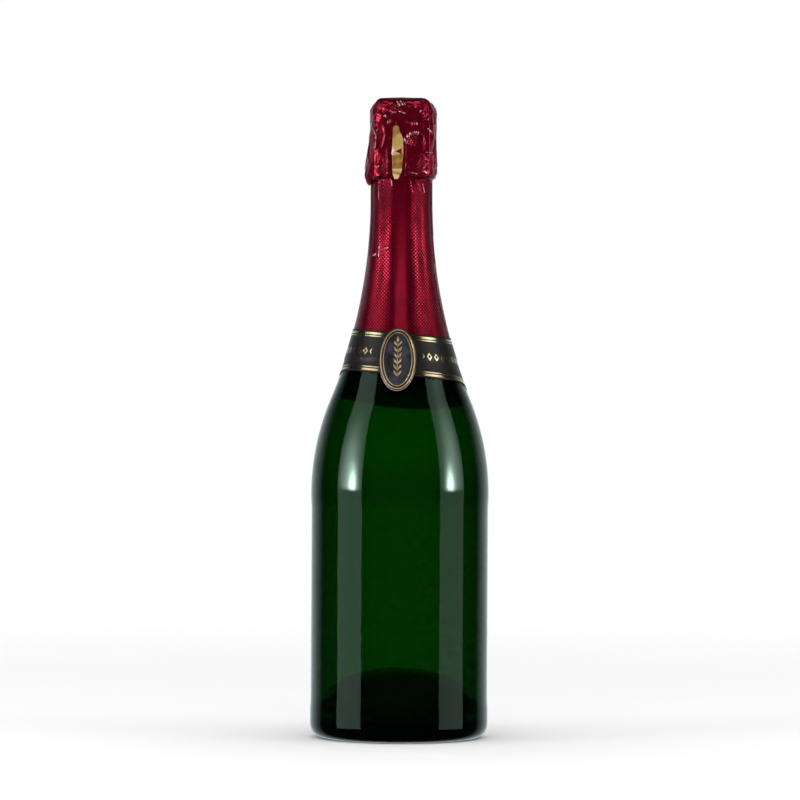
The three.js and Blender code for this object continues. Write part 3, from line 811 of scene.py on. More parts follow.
def cut_edge():
    """The board's cut edge, with painted light that leaves it pale below and painted shade that darkens it
    above
    """
    material, tree, shader = new_material("medallion_edge")
    low, high = EDGE_LIGHT_AND_SHADE
    pale = blend(tree, grain(tree, 700, 4.0), (0.26, 0.25, 0.25, 1), (0.40, 0.38, 0.38, 1))
    height = calc(tree, "SUBTRACT", axes(tree)[2], MEDALLION_MIDDLE_Z * MM)
    lower = spread(tree, height, low * MM, high * MM, 1.0, 0.0)
    # Painted shade on the upper part of the edge, painted light on the lower part
    colour = blend(tree, lower, (0.012, 0.009, 0.008, 1), pale)
    settle(tree, shader, {"Base Color": colour, "Roughness": 0.55})
    return material


def ring_gold():
    """Hot-pressed gold of the medallion"""
    material, tree, shader = new_material("ring_gold")
    wear = grain(tree, 600, 5.0)
    settle(tree, shader, {
        "Base Color": blend(tree, wear, (0.80, 0.60, 0.34, 1), (0.62, 0.44, 0.22, 1)),
        "Metallic": 0.85,
        "Roughness": spread(tree, wear, 0.3, 0.7, 0.28, 0.45),
        "Normal": bump(tree, wear, 0.02, 0.4),
    })
    return material


# Pieces


def dome_line(foot_radius, foot_z, crown_z, steps=28):
    """Half the outline of a dome, from its foot to its crown on the axis"""
    rise_z = foot_z + (crown_z - foot_z) * DOME_RISE
    lower = [(foot_radius, foot_z), (foot_radius * DOME_FOOT, rise_z)]
    upper = [(foot_radius * DOME_CROWN, crown_z), (0, crown_z)]
    return bezier(lower + upper, steps)


def inside_line():
    """The bottle's inside below the bore, down to the middle of the floor"""
    inner = BODY_RADIUS - PANEL_RECESS - BODY_WALL
    floor_radius = BODY_RADIUS - HEEL_ARC - STANDING_RING + BASE_THICKNESS / 2
    line = []
    for radius, z in shoulder_line(neck=NECK_BORE_RADIUS, body=inner, round_arc=SHOULDER_ARC - BODY_WALL):
        thin = smooth(z, SHOULDER_Z, SHOULDER_Z + THINNING_RISE)
        thin *= 1 - smooth(z, SLEEVE_BOTTOM - THINNING_BELOW, SLEEVE_BOTTOM + THINNING_ABOVE)
        line.append((radius + SHOULDER_THINNING * thin, z))
    corners = [(inner, VALLEY_HEIGHT + VALLEY_ARC), (inner, VALLEY_HEIGHT), (floor_radius, VALLEY_HEIGHT)]
    line += bezier(corners, VALLEY_STEPS)
    return line + dome_line(floor_radius, VALLEY_HEIGHT, PUNT_DEPTH + BASE_THICKNESS)[1:]


def panel_line():
    """The body's side, which steps in a little between the heel and the shoulder"""
    line = []
    for z in range(math.ceil(HEEL_ARC) + 1, math.floor(SHOULDER_Z)):
        low = smooth(z, HEEL_BAND - PANEL_EDGE, HEEL_BAND)
        high = 1 - smooth(z, PANEL_TOP_Z, PANEL_TOP_Z + PANEL_EDGE)
        line.append((BODY_RADIUS - PANEL_RECESS * low * high, z))
    return line


def glass_bottle():
    ring = BODY_RADIUS - HEEL_ARC
    lip_bottom = GLASS_TOP - LIP_HEIGHT
    throat_z = COLLAR_BOTTOM_Z - THROAT_HEIGHT
    bore_end = GLASS_TOP - CORK_SHANK - 2 * CORK_DISC - MOUTH_CHAMFER
    outline = dome_line(ring - STANDING_RING, 0, PUNT_DEPTH)[::-1]
    outline += bezier([(ring, 0), (BODY_RADIUS, 0), (BODY_RADIUS, HEEL_ARC)], HEEL_STEPS)
    outline += panel_line()
    outline += shoulder_line()[::-1]
    outline += rounded([
        (NECK_RADIUS, FLARE_Z + 1),
        (NECK_RADIUS, throat_z - THROAT_TAPER),
        (THROAT_RADIUS, throat_z),
        (THROAT_RADIUS, COLLAR_BOTTOM_Z),
        (COLLAR_RADIUS - COLLAR_CHAMFER, COLLAR_BOTTOM_Z),
        (COLLAR_RADIUS, COLLAR_BOTTOM_Z + COLLAR_CHAMFER),
        (COLLAR_RADIUS, COLLAR_TOP_Z - 2 * COLLAR_CHAMFER),
        (LIP_RADIUS - LIP_GROOVE, COLLAR_TOP_Z),
        (LIP_RADIUS - LIP_GROOVE, lip_bottom - LIP_GROOVE),
        (LIP_RADIUS, lip_bottom),
        (LIP_RADIUS, GLASS_TOP - LIP_ROUND),
        (LIP_RADIUS - LIP_ROUND, GLASS_TOP),
        (BORE_RADIUS + MOUTH_CHAMFER, GLASS_TOP),
        (BORE_RADIUS, GLASS_TOP - MOUTH_CHAMFER),
        (BORE_RADIUS, bore_end),
        (NECK_BORE_RADIUS, FLARE_Z + 1),
    ], CORNER_EASE)
    piece = turned("bottle_glass", outline + inside_line(), green_glass())
    dress(piece, "bottle", "green_glass", "glass_bottle")


def wine():
    """The wine reaches a little into the glass, so that light crosses one boundary between them"""
    outline = [(0, WINE_TOP)]
    wet = [(r + WINE_OVERLAP, z) for r, z in inside_line() if z < WINE_TOP and r > 0]
    floor_z = PUNT_DEPTH + BASE_THICKNESS
    outline.append((wet[0][0], WINE_TOP))
    outline += [(r, z - WINE_OVERLAP if z < floor_z else z) for r, z in wet]
    outline.append((0, floor_z - WINE_OVERLAP))
    dress(turned("wine_fill", outline, pale_wine()), "bottle", "wine", "wine")


def corks():
    seat_z = CORK_TOP - CORK_HEAD_HEIGHT
    shank = BORE_RADIUS - CORK_GAP
    shank_end = GLASS_TOP - CORK_SHANK
    head = rounded([
        (0, CORK_TOP),
        (CORK_HEAD_RADIUS, CORK_TOP),
        (CORK_HEAD_RADIUS, seat_z + 3 * CORK_UNDERCUT),
        (CORK_HEAD_RADIUS - CORK_UNDERCUT, seat_z),
        (shank, seat_z),
        (shank, shank_end),
        (0, shank_end),
    ], CORK_HEAD_ROUND, 8)
    piece = turned("cork_mushroom", head, ground_cork(), CORK_STEPS)
    dress(piece, "cork", "agglomerate_cork", "cork_body")
    disc_material = natural_cork()
    for name in ("cork_disc_upper", "cork_disc_lower"):
        low, high = reach(name, 2)
        disc = rounded([(0, high), (shank, high), (shank, low), (0, low)], CORK_DISC_ROUND)
        piece = turned(name + "_grain", disc, disc_material, CORK_STEPS)
        dress(piece, "cork", "natural_cork", name)


def plaque():
    groove_z = PLAQUE_TOP - PLAQUE_STEP
    inner = GROOVE_RADIUS - GROOVE_WIDTH / 2
    outer = GROOVE_RADIUS + GROOVE_WIDTH / 2
    top = [
        (0, PLAQUE_TOP),
        (inner - PLAQUE_STEP, PLAQUE_TOP),
        (inner, groove_z),
        (outer, groove_z),
        (outer + PLAQUE_STEP, PLAQUE_TOP),
        ((outer + PLAQUE_STEP + PLAQUE_RADIUS) / 2, PLAQUE_TOP - PLAQUE_THICKNESS),
        (PLAQUE_RADIUS, PLAQUE_TOP - PLAQUE_RIM_DROP),
    ]
    under = []
    for radius, z in top:
        inset = PLAQUE_THICKNESS * smooth(radius, outer, PLAQUE_RADIUS)
        under.append((max(radius - inset, 0), z - PLAQUE_THICKNESS))
    under[-1] = (PLAQUE_RADIUS - PLAQUE_THICKNESS, PLAQUE_TOP - PLAQUE_RIM_DROP)
    outline = rounded(top + under[::-1], PLAQUE_ROUND)
    dress(turned("plaque_cap", outline, plaque_lacquer()), "muselet", "plaque_metal", "muselet_plaque")


def ring_path(radius, z, steps=120):
    return [polar(radius, turn, z) for turn in turns(steps)]


def twisted(path, twists, side_of):
    """Two wires that wind round a path"""
    strands = [[], []]
    for i, spot in enumerate(path):
        ahead = path[min(i + 1, len(path) - 1)] - path[max(i - 1, 0)]
        along = ahead.normalized()
        side = side_of(spot)
        side = (side - along * side.dot(along)).normalized()
        upward = along.cross(side)
        spin = 2 * math.pi * twists * i / (len(path) - 1)
        offset = (side * math.cos(spin) + upward * math.sin(spin)) * WIRE / 2
        strands[0].append(spot + offset)
        strands[1].append(spot - offset)
    return strands


def leg_path(angle, steps=90):
    """A cage leg from the wire ring in the plaque's groove down to its eyelet on the belt"""
    groove_z = PLAQUE_TOP - PLAQUE_STEP
    leg_top = PLAQUE_TOP + WIRE_GAP + WIRE
    collar = COLLAR_RADIUS + WIRE_GAP + WIRE
    head = PLAQUE_RADIUS + WIRE_GAP + WIRE
    eye = EYELET_RADIUS * math.sqrt(0.5)
    spots = [
        (GROOVE_RADIUS, groove_z + WIRE_GAP + WIRE),
        (GROOVE_RADIUS + GROOVE_WIDTH / 2 + PLAQUE_STEP, leg_top),
        ((PLAQUE_RADIUS + head - WIRE) / 2, leg_top - WIRE / 2),
        (head, PLAQUE_TOP - PLAQUE_RIM_DROP),
        ((head + collar) / 2, (PLAQUE_TOP - PLAQUE_RIM_DROP + COLLAR_TOP_Z) / 2),
        (collar, COLLAR_TOP_Z),
        (collar, COLLAR_BOTTOM_Z + COLLAR_CHAMFER),
        ((collar + BELT_RADIUS + eye) / 2, (COLLAR_BOTTOM_Z + BELT_Z + eye) / 2),
        (BELT_RADIUS + eye, BELT_Z + eye),
    ]
    line = [spline(spots, i / steps) for i in range(steps + 1)]
    return [polar(r, math.radians(angle), z) for r, z in line]


def eyelet_path(angle, steps=28):
    path = []
    for spin in turns(steps):
        radius = BELT_RADIUS + EYELET_RADIUS * math.cos(spin)
        path.append(polar(radius, math.radians(angle), BELT_Z + EYELET_RADIUS * math.sin(spin)))
    return path


def cage_legs(material):
    """The ring in the plaque's groove, and four twisted legs with their eyelets"""
    paths = [ring_path(GROOVE_RADIUS, PLAQUE_TOP - PLAQUE_STEP + WIRE_GAP + WIRE / 2)]
    closed = [True]
    for angle in LEG_ANGLES:
        turn = math.radians(angle)
        sideways = Vector((math.cos(turn), math.sin(turn), 0))
        paths += twisted(leg_path(angle), LEG_TWISTS, lambda spot: sideways)
        paths.append(eyelet_path(angle))
        closed += [False, False, True]
    dress(wires("cage_legs", paths, material, closed), "muselet", "cage_wire", "wire_hood")


def belt_and_key(material):
    """The belt under the collar, its twisted stem, and the key loop that lies flat beside the collar"""
    radius = COLLAR_RADIUS + WIRE_GAP + WIRE / 2
    key_z = BELT_Z + KEY_HALF_HEIGHT - WIRE
    half_turn = KEY_HALF_LENGTH / radius
    middle = math.radians(KEY_ANGLE)
    loop = []
    for spin in turns(KEY_STEPS):
        turn = middle + half_turn * math.cos(spin)
        loop.append(polar(radius, turn, key_z + KEY_HALF_HEIGHT * math.sin(spin)))
    start = math.radians(STEM_ANGLE)
    end = middle + half_turn
    between = ((BELT_RADIUS + radius) / 2, (start + end) / 2, BELT_Z)
    ends = [polar(BELT_RADIUS, start, BELT_Z), polar(*between), polar(radius, end, key_z)]
    stem = [spline(ends, i / STEM_STEPS) for i in range(STEM_STEPS + 1)]
    strands = twisted(stem, STEM_TWISTS, lambda spot: Vector((spot.x, spot.y, 0)).normalized())
    paths = [ring_path(BELT_RADIUS, BELT_Z), loop, *strands]
    piece = wires("belt_and_key", paths, material, [True, True, False, False])
    dress(piece, "muselet", "cage_wire", "belt_wire")


def cage():
    material = galvanised_wire()
    cage_legs(material)
    belt_and_key(material)


def dress(piece, body, slot, *nodes):
    """A piece takes the place of its CAD nodes and rides on their body. Its finish, slot, is not used."""
    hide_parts(*nodes)
    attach(piece, body)


# The hood's outline between the cage legs and over them: radius, and depth below its top
HOOD_BETWEEN = [
    (17.3, 39.75), (17.3, 36.75), (17.3, 32.05), (17.1, 27.35), (16.25, 20.4), (15.8, 13.5),
    (16.2, 8.5), (15.65, 5.9), (14.4, 3.9), (12.0, 2.15), (7.5, 0.92), (0.02, 0),
]
HOOD_OVER = [
    (19.0, 39.75), (19.0, 36.75), (19.0, 32.05), (19.0, 27.35), (18.4, 20.4), (17.8, 13.5),
    (17.46, 7.85), (17.2, 5.2), (16.6, 2.75), (14.6, 1.34), (8.97, 0.8), (0.02, 0),
]
HOOD_RADIUS = 17.3
KEY_COVER = 18.75
KEY_TOP_Z = BELT_Z + 2 * KEY_HALF_HEIGHT
LEG_SHARPNESS = 3
# The cover stands out over the key at angles from its middle, and fades at heights from the key's top
KEY_COVER_ANGLES = (27, 45)
KEY_COVER_FADE = (-9, 8)
# Folds of the hood: angle and height of both ends, half width, rise, and how strong a painted highlight its
# crest carries
HOOD_FOLDS = [
    (-49.5, 301.6, -43.2, 297.7, 1.0, 0.5, 0.35), (-43.2, 297.7, -43.2, 292, 1.0, 0.45, 0.4),
    (-31.2, 302.2, -29.2, 298.4, 0.8, 0.45, 0.3), (-29.2, 298.4, -32.3, 292.9, 0.8, 0.4, 0.3),
    (-24.4, 291.9, -23, 279.4, 0.8, 0.25, 0.3), (-5.3, 300.3, 6.5, 295.2, 0.8, 0.6, 1),
    (6.5, 295.2, 5.3, 278.5, 0.6, 0.3, 0.2), (42.6, 301.6, 66.8, 296.8, 0.9, 0.5, 0.55),
    (39.7, 290, 57.6, 290, 0.7, 0.35, 0.35), (57, 288.7, 56, 281.7, 0.9, 0.5, 0.45),
    (62, 291.5, 59.5, 284.5, 0.8, 0.35, 0.2), (13, 280, 25, 279.3, 0.6, 0.35, 0.5),
    (35.5, 280.6, 41, 279.6, 0.7, 0.5, 0.8), (-41, 283, -36, 279, 1.6, 0.5, 0),
    (-44, 309, -30, 307.8, 1.4, 0.5, 0), (-30, 308, -28.5, 307.6, 0.7, 0.5, 0.9),
    (-58, 305.6, -12, 304.9, 0.8, -0.45, 0), (-74, 306.3, -61, 305.7, 0.8, -0.2, 0),
    (8, 305.1, 52, 304.7, 0.8, -0.45, 0), (55, 304.8, 72, 305.5, 0.8, -0.2, 0),
    (72, 302, 79, 289, 0.9, 0.25, 0), (88, 297, 83, 284, 1.0, 0.2, 0),
    (66.8, 296.8, 70, 285, 0.8, 0.35, 0.2), (-63, 301, -72, 289, 0.9, 0.35, 0),
    (-10, 315, -4, 313, 0.7, 0.5, 1), (-3, 315, 2, 313.2, 0.6, 0.5, 0.8), (3, 314.8, 6, 313.4, 0.6, 0.4, 0.5),
    (-20, 310.4, -15, 309.4, 0.7, 0.45, 0.6), (-15, 309.4, -10, 309.8, 0.7, 0.45, 0.4),
    (-4, 310, 5, 309.2, 0.7, 0.45, 0.5),
]
# Raised pips that carry a painted highlight: angle, height, and how strong each highlight is
HOOD_PIPS = [
    (angle, z, angle + 1, z + 0.7, 0.6, 0.5, glint_strength)
    for angle, z, glint_strength in (
        (-25.5, 304.4, 0.8), (-21.5, 304.5, 0.7), (-10.5, 303.9, 0.75), (17, 303.8, 0.6), (21.5, 303.7, 0.7),
        (26, 303.7, 0.55), (31, 309.8, 0.5), (43, 306, 0.6), (-38, 282.6, 0.4), (13.5, 298.9, 0.9),
        (17, 299, 1), (20.5, 299.1, 1), (24, 299.1, 0.9), (27.5, 299, 0.8), (9, 297.4, 0.8),
        (12.5, 297.6, 0.6), (-43, 300.5, 0.4),
    )
]
CREST_WIDTH = 0.5
# Degrees from the tab's middle between which crinkles and folds rise, and the height over its top
CRINKLE_SHELTER = (9, 15)
FOLD_SHELTER = (8.6, 10.5)
SHELTER_TOP = 3
HOOD_ROWS = 150
HOOD_COLUMNS = 360
# Crinkles: size and depth, and how much longer they are upwards
CRINKLES = ((5, 0.15), (2.2, 0.09))
CRINKLE_STRETCH = 1.7
CRINKLE_LIFT = 0.62
# Flat facets of the crushed foil
FACET_COLUMNS = 32
FACET_ROWS = 17
FACET_SHIFT = 0.36
FACET_RISE = 0.42
FACET_SHARE = 0.85
CROWN_SMOOTH = (0.7, 0.82)
FACET_SEED = 11
# Columns of facets from one cage leg to the next, and how little they shift over a leg
LEG_COLUMNS = FACET_COLUMNS // 4
LEG_SHIFT = 0.3
FACET_FADE = (0.7, 0.95)
CRINKLE_FADE = (0.86, 0.99)
HEM_WAVE = 1.6
HEM_SHARE = 0.09
HEM_NOISE_RADIUS = 5
HEM_NOISE_LIFT = 0.25
# The right side is fuller: sines of the angles and radii where that sets in, and depths where it changes
RIGHT_SINES = (0.35, 0.95)
RIGHT_RADII = (9, 14)
RIGHT_FILL = 1.35
RIGHT_DEPTHS = (17, 28)
RIGHT_LOW_FILL = 0.25
RIGHT_LOW_DEPTHS = (15, 25)
RIGHT_HEM_SHARE = 0.06
KEY_HEM_TUCK = 1.5
KEY_TUCK_SHARE = 0.04


def key_share(angle, z):
    """How much the hood stands out over the key loop"""
    away = abs(math.degrees(angle) - KEY_ANGLE)
    low, high = KEY_COVER_FADE
    return (1 - smooth(away, *KEY_COVER_ANGLES)) * (1 - smooth(z, KEY_TOP_Z + low, KEY_TOP_Z + high))


def hood_base(angle, share):
    """The hood before it is crumpled, from the hem (0) to the top (1)"""
    legs = ((1 - math.cos(4 * angle)) / 2) ** LEG_SHARPNESS
    radius, depth = spline(HOOD_BETWEEN, share).lerp(spline(HOOD_OVER, share), legs)
    z = HOOD_TOP - max(depth, 0)
    key = key_share(angle, z)
    radius = max(radius, 0) + max(KEY_COVER - radius, 0) * key
    right = smooth(math.sin(angle), *RIGHT_SINES) * smooth(radius, *RIGHT_RADII)
    radius += right * RIGHT_FILL * (1 - smooth(depth, *RIGHT_DEPTHS))
    hem = 2 * smooth(share, 0, RIGHT_HEM_SHARE) - 1
    radius += right * RIGHT_LOW_FILL * smooth(depth, *RIGHT_LOW_DEPTHS) * hem
    low = 1 - smooth(share, 0, HEM_SHARE)
    radius -= KEY_HEM_TUCK * key * (1 - smooth(share, 0, KEY_TUCK_SHARE)) ** 2
    wave = max(noise.noise(polar(HEM_NOISE_RADIUS, angle, 0)) + HEM_NOISE_LIFT, 0)
    z -= KEY_HEM_DROP * key * low + HEM_WAVE * low * wave
    return polar(radius, angle, z)


def crinkles(spot):
    """Sharp-crested crinkles, longer upwards than across"""
    rise = 0
    for size, depth in CRINKLES:
        sample = Vector((spot.x / size, spot.y / size, spot.z / size / CRINKLE_STRETCH))
        rise += depth * (CRINKLE_LIFT - 2 * abs(noise.noise(sample)))
    return rise


def fold_at(folds, radius, angle, z):
    """Rise of the straight folds near a place, and how strong the painted highlight on a crest is there"""
    rise = 0
    crest = 0
    for angle_a, z_a, angle_b, z_b, half_width, height, glint_strength in folds:
        start = Vector((math.radians(angle_a) * radius, z_a))
        line = Vector((math.radians(angle_b) * radius, z_b)) - start
        here = Vector((angle * radius, z)) - start
        along = min(max(here.dot(line) / line.length_squared, 0), 1)
        away = (here - line * along).length
        if away < half_width:
            share = 1 - away / half_width
            rise += height * share
            crest = max(crest, glint_strength * (1 - min(away / CREST_WIDTH, 1)))
    return rise, crest


def tab_shelter(angle, z, near_far=CRINKLE_SHELTER):
    """1 away from the pull tab, falling to 0 under it"""
    beside = smooth(abs(math.degrees(angle) - TAB_ANGLE), *near_far)
    return max(beside, smooth(z, TAB_TOP, TAB_TOP + SHELTER_TOP))


def grid_normals(grid):
    """The outward direction at each point of rows that close round"""
    normals = []
    for i, row in enumerate(grid):
        above = grid[min(i + 1, len(grid) - 1)]
        below = grid[max(i - 1, 0)]
        around = zip(row[1:] + row[:1], row[-1:] + row[:-1], above, below)
        normals.append([(right - left).cross(high - low).normalized() for right, left, high, low in around])
    return normals


def facet_corners():
    """Corners of the crushed foil's facets, shifted and raised at random, but kept clear of tab and legs"""
    chance = random.Random(FACET_SEED)
    rows = []
    for j in range(FACET_ROWS):
        row = []
        for i in range(FACET_COLUMNS):
            across, along, lift = [chance.uniform(-1, 1) for _ in range(3)]
            on_leg = i % LEG_COLUMNS == LEG_COLUMNS // 2
            column = i + FACET_SHIFT * across * (LEG_SHIFT if on_leg else 1)
            turn = 2 * math.pi * column / FACET_COLUMNS - math.pi
            inner = 0 < j < FACET_ROWS - 1
            share = (j + FACET_SHIFT * along * inner) / (FACET_ROWS - 1)
            spot = hood_base(turn, share)
            rise = FACET_RISE * (abs(lift) if on_leg else lift) * tab_shelter(turn, spot.z)
            rise *= 1 - smooth(share, *FACET_FADE)
            row.append(spot + polar(rise, turn, 0))
        rows.append(row)
    return rows


def on_facet(corners, angle, share):
    """A place on the crushed foil: each cell between four corners is folded along one diagonal"""
    across = (angle / (2 * math.pi) + 0.5) * FACET_COLUMNS
    along = min(share, LAST_SHARE) * (FACET_ROWS - 1)
    i = int(across)
    j = int(along)
    s = across - i
    t = along - j
    low = corners[j]
    high = corners[j + 1]
    after = (i + 1) % FACET_COLUMNS
    i %= FACET_COLUMNS
    if (i + j) % 2:
        if s > t:
            return low[i] + (low[after] - low[i]) * s + (high[after] - low[after]) * t
        return low[i] + (high[i] - low[i]) * t + (high[after] - high[i]) * s
    if s + t < 1:
        return low[i] + (low[after] - low[i]) * s + (high[i] - low[i]) * t
    return high[after] + (high[i] - high[after]) * (1 - s) + (low[after] - high[after]) * (1 - t)


def crushed_rows():
    """The hood's rows of points, with the crushed foil's facets on them"""
    corners = facet_corners()
    rows = []
    for i in range(HOOD_ROWS):
        share = i / (HOOD_ROWS - 1)
        crushed = FACET_SHARE * (1 - smooth(share, *CROWN_SMOOTH))
        row = []
        for turn in turns(HOOD_COLUMNS):
            angle = turn - math.pi
            row.append(hood_base(angle, share).lerp(on_facet(corners, angle, share), crushed))
        rows.append(row)
    return rows


def foil_hood():
    base = crushed_rows()
    grid = []
    for i, (row, outward) in enumerate(zip(base, grid_normals(base))):
        crown = 1 - smooth(i / HOOD_ROWS, *CRINKLE_FADE)
        along = sum((base[j][0] - base[j - 1][0]).length for j in range(1, i + 1))
        cells = []
        for spot, normal in zip(row, outward):
            angle = math.atan2(spot.x, -spot.y)
            fold, crest = fold_at(HOOD_FOLDS + HOOD_PIPS, HOOD_RADIUS, angle, spot.z)
            shelter = tab_shelter(angle, spot.z, FOLD_SHELTER)
            rise = crinkles(spot) * tab_shelter(angle, spot.z) * crown + fold * shelter
            raised = spot + normal * rise
            raised.z = min(raised.z, HOOD_TOP)
            behind = raised - normal * FOIL_THICKNESS
            cells.append((raised, behind, (angle * HOOD_RADIUS, along), (crest * shelter, 0)))
        grid.append(cells)
    materials = [crumpled_red(), gold_foil()]
    piece = shell("hood_foil", grid, materials, ("skin", "crest"), wrap=True, back_slot=1)
    dress(piece, "hood", "red_foil", "foil_hood")


# Folds of the sleeve, given as those of the hood
SLEEVE_FOLDS = [
    (-56, 239.3, -50, 239.5, 0.5, 0.4, 0.8), (-41, 243.2, -41, 238.8, 0.5, 0.4, 0.8),
    (-29, 242.6, -23, 242.9, 0.5, 0.35, 0.8), (-75, 275, -70, 240, 1.2, 0.3, 0),
    (72, 275, 76, 236, 1.0, 0.3, 0), (82, 277, 85, 250, 1.2, 0.18, 0),
    (-47.5, 275.5, -46, 267, 0.8, 0.35, 0.35), (-38, 276, -36, 269, 1.0, 0.2, 0),
    (-18.5, 275.8, -17.5, 273.5, 0.8, 0.4, 0.45), (26, 277, 36, 270, 1.2, 0.2, 0),
    (42, 274.5, 47, 270.5, 0.8, 0.4, 0.45), (14, 276, 20, 269, 1.0, 0.15, 0),
    (68, 230, 74, 192, 0.9, 0.25, 0),
]
SLEEVE_ROWS = 150
SLEEVE_PUFF = 0.06
GATHER_HEIGHT = 14
# Soft waves of the sheets: rise, and size across and upwards
SLEEVE_WAVE = (0.08, 4, 22)
SLEEVE_PLEATS = (0.35, 2.2, 26)
LABEL_RIPPLE = (0.05, 9, 30)


def wave_at(wave, radius, angle, z):
    """Rise of a soft wave in a wrapped sheet"""
    rise, across, upward = wave
    return rise * noise.noise(polar(radius / across, angle, z / upward))


def sleeve_radius(z):
    """The sleeve's outer face: a short skirt that meets the hood, then close on the glass"""
    close = shoulder_radius(z) + SLEEVE_STAND_OFF
    skirt = smooth(z, SLEEVE_TOP - SKIRT_HEIGHT, SLEEVE_TOP)
    return close + (SKIRT_RADIUS - close) * skirt


def mirrored(angle):
    """An angle from the front, or from the back in the rear half, which lays a flared sheet out evenly"""
    if abs(angle) <= math.pi / 2:
        return angle
    return math.copysign(math.pi, angle) - angle


def foil_sleeve():
    grid = []
    for i in range(SLEEVE_ROWS):
        z = SLEEVE_BOTTOM + (SLEEVE_TOP - SLEEVE_BOTTOM) * i / (SLEEVE_ROWS - 1)
        gathered = smooth(z, SLEEVE_TOP - GATHER_HEIGHT, SLEEVE_TOP)
        radius = sleeve_radius(z)
        cells = []
        for degree in range(-180, 180 + SEAM_LAP + 1):
            angle = math.radians(degree)
            lap = smooth(math.degrees(angle), 180 - SEAM_LAP, 180) * 2 * FOIL_THICKNESS
            pleat = gathered * max(wave_at(SLEEVE_PLEATS, radius, angle, z), 0)
            fold, crest = fold_at(SLEEVE_FOLDS, radius, angle, z)
            rise = SLEEVE_PUFF + wave_at(SLEEVE_WAVE, radius, angle, z) + pleat + fold + lap
            front = polar(radius + rise, angle, z)
            back = polar(radius + rise - FOIL_THICKNESS, angle, z)
            cells.append((front, back, (mirrored(angle) * radius, z), (crest, 0)))
        grid.append(cells)
    piece = shell("sleeve_foil", grid, [embossed_red(), gold_foil()], ("skin", "crest"), back_slot=1)
    dress(piece, "bottle", "red_foil", "foil_sleeve")


# The tab's outline from its middle, across to the right and up, and its bends: height and how far it lifts
TAB_OUTLINE = [
    (-0.8, 13.5), (0.3, 12.7), (0.65, 10.5), (2.04, 8.06), (2.44, 5.7), (2.54, 2.5), (2.54, -1.74),
    (2.2, -4.7), (2.04, -8.0), (1.6, -10.1), (0.8, -11.8), (0.3, -13.0), (-1.44, -13.2), (-2.44, -10.1),
    (-2.6, -8.0), (-2.6, -1.24), (-2.95, -0.5), (-2.7, 1.1), (-2.6, 12.7), (-2.0, 13.3),
]
TAB_BENDS = [(13.5, 0.0), (10.3, 0.25), (-1.1, 1.1), (-8.0, 0.35), (-13.5, 0.9)]
TAB_RIM_STEPS = 8
TAB_SHARES = [0, 0.15, 0.3, 0.45, 0.6, 0.75, 0.88, 0.97, 1]


def bent(bends, upward):
    """Lift between the bends of a folded strip"""
    for (high, high_lift), (low, low_lift) in zip(bends, bends[1:]):
        if upward >= low:
            return high_lift + (low_lift - high_lift) * (high - upward) / (high - low)
    return bends[-1][1]


def hood_front_radius(z):
    """The hood's radius at the front, between two cage legs"""
    lines = zip(HOOD_BETWEEN, HOOD_BETWEEN[1:])
    for (low_radius, low_depth), (high_radius, high_depth) in lines:
        if HOOD_TOP - z >= high_depth:
            share = (low_depth - HOOD_TOP + z) / (low_depth - high_depth)
            return low_radius + (high_radius - low_radius) * min(max(share, 0), 1)
    return 0


def plate(name, rings, materials, slots, spot_at):
    """A thin closed plate: rings of (across, upward, level) from its front's middle to its back's middle"""
    points = [spot_at(*place) for ring in rings for place in ring]
    count = len(rings[0])
    face_slots = [slot for slot in slots for _ in range(count)]
    return solid(name, points, bands(len(rings), count), materials, face_slots)


def tab_spot(across, upward, level):
    z = TAB_MIDDLE_Z + upward
    radius = hood_front_radius(z) + TAB_STAND_OFF
    angle = math.radians(TAB_ANGLE) + across / radius
    return polar(radius + level + bent(TAB_BENDS, upward), angle, z)


def pull_tab():
    loop = TAB_OUTLINE + TAB_OUTLINE[:1]
    rim = []
    for start, end in zip(loop, loop[1:]):
        rim += [Vector(start).lerp(Vector(end), k / TAB_RIM_STEPS) for k in range(TAB_RIM_STEPS)]
    front = [[(p.x * share, p.y * share, TAB_THICKNESS) for p in rim] for share in TAB_SHARES]
    back = [[(p.x * share, p.y * share, 0) for p in rim] for share in reversed(TAB_SHARES)]
    rings = front + back
    piece = plate("tab_foil", rings, [tab_gold()], [0] * (len(rings) - 1), tab_spot)
    tab_turn = math.radians(TAB_ANGLE)
    lay_out(piece, lambda angle, z: ((angle - tab_turn) * hood_front_radius(z), z - TAB_MIDDLE_Z))
    dress(piece, "tab", "gold_foil", "pull_tab")


def label_edge(z, angle, droop):
    """Height of a label's edge: tilted across the front and drooping towards the back"""
    lean = math.tan(math.radians(LABEL_TILT)) * shoulder_radius(z) * math.sin(angle)
    away = angle - math.radians(LABEL_DROOP_ANGLE)
    return z - lean - droop * ((1 + math.cos(away)) / 2) ** LABEL_DROOP_POWER


def label_radius(z):
    """The label's back: over the foil at the top, on the glass below it"""
    low, high = LABEL_STEP
    over_foil = smooth(z, SLEEVE_BOTTOM + low, SLEEVE_BOTTOM + high)
    return shoulder_radius(z) + LABEL_GAP + over_foil * SLEEVE_STAND_OFF


LABEL_ROWS = 40
LABEL_STEPS_PER_DEGREE = 2
# An upright wrinkle in the label, given as a fold
LABEL_FOLDS = [(-44.5, 202, -44.2, 188, 0.7, 0.3, 0)]


def label_edges(angle):
    """Heights of the label's bottom and top edge"""
    bottom = label_edge(LABEL_TOP_Z - LABEL_HEIGHT, angle, LABEL_BOTTOM_DROOP)
    return bottom, label_edge(LABEL_TOP_Z, angle, LABEL_TOP_DROOP)


def label_lengths(angles):
    """How far along its middle line each column of the label lies from the front"""
    lengths = [0.0]
    for angle in angles[:-1]:
        step = label_radius(sum(label_edges(angle)) / 2) * math.radians(1 / LABEL_STEPS_PER_DEGREE)
        lengths.append(lengths[-1] + step)
    front = lengths[180 * LABEL_STEPS_PER_DEGREE]
    return [length - front for length in lengths]


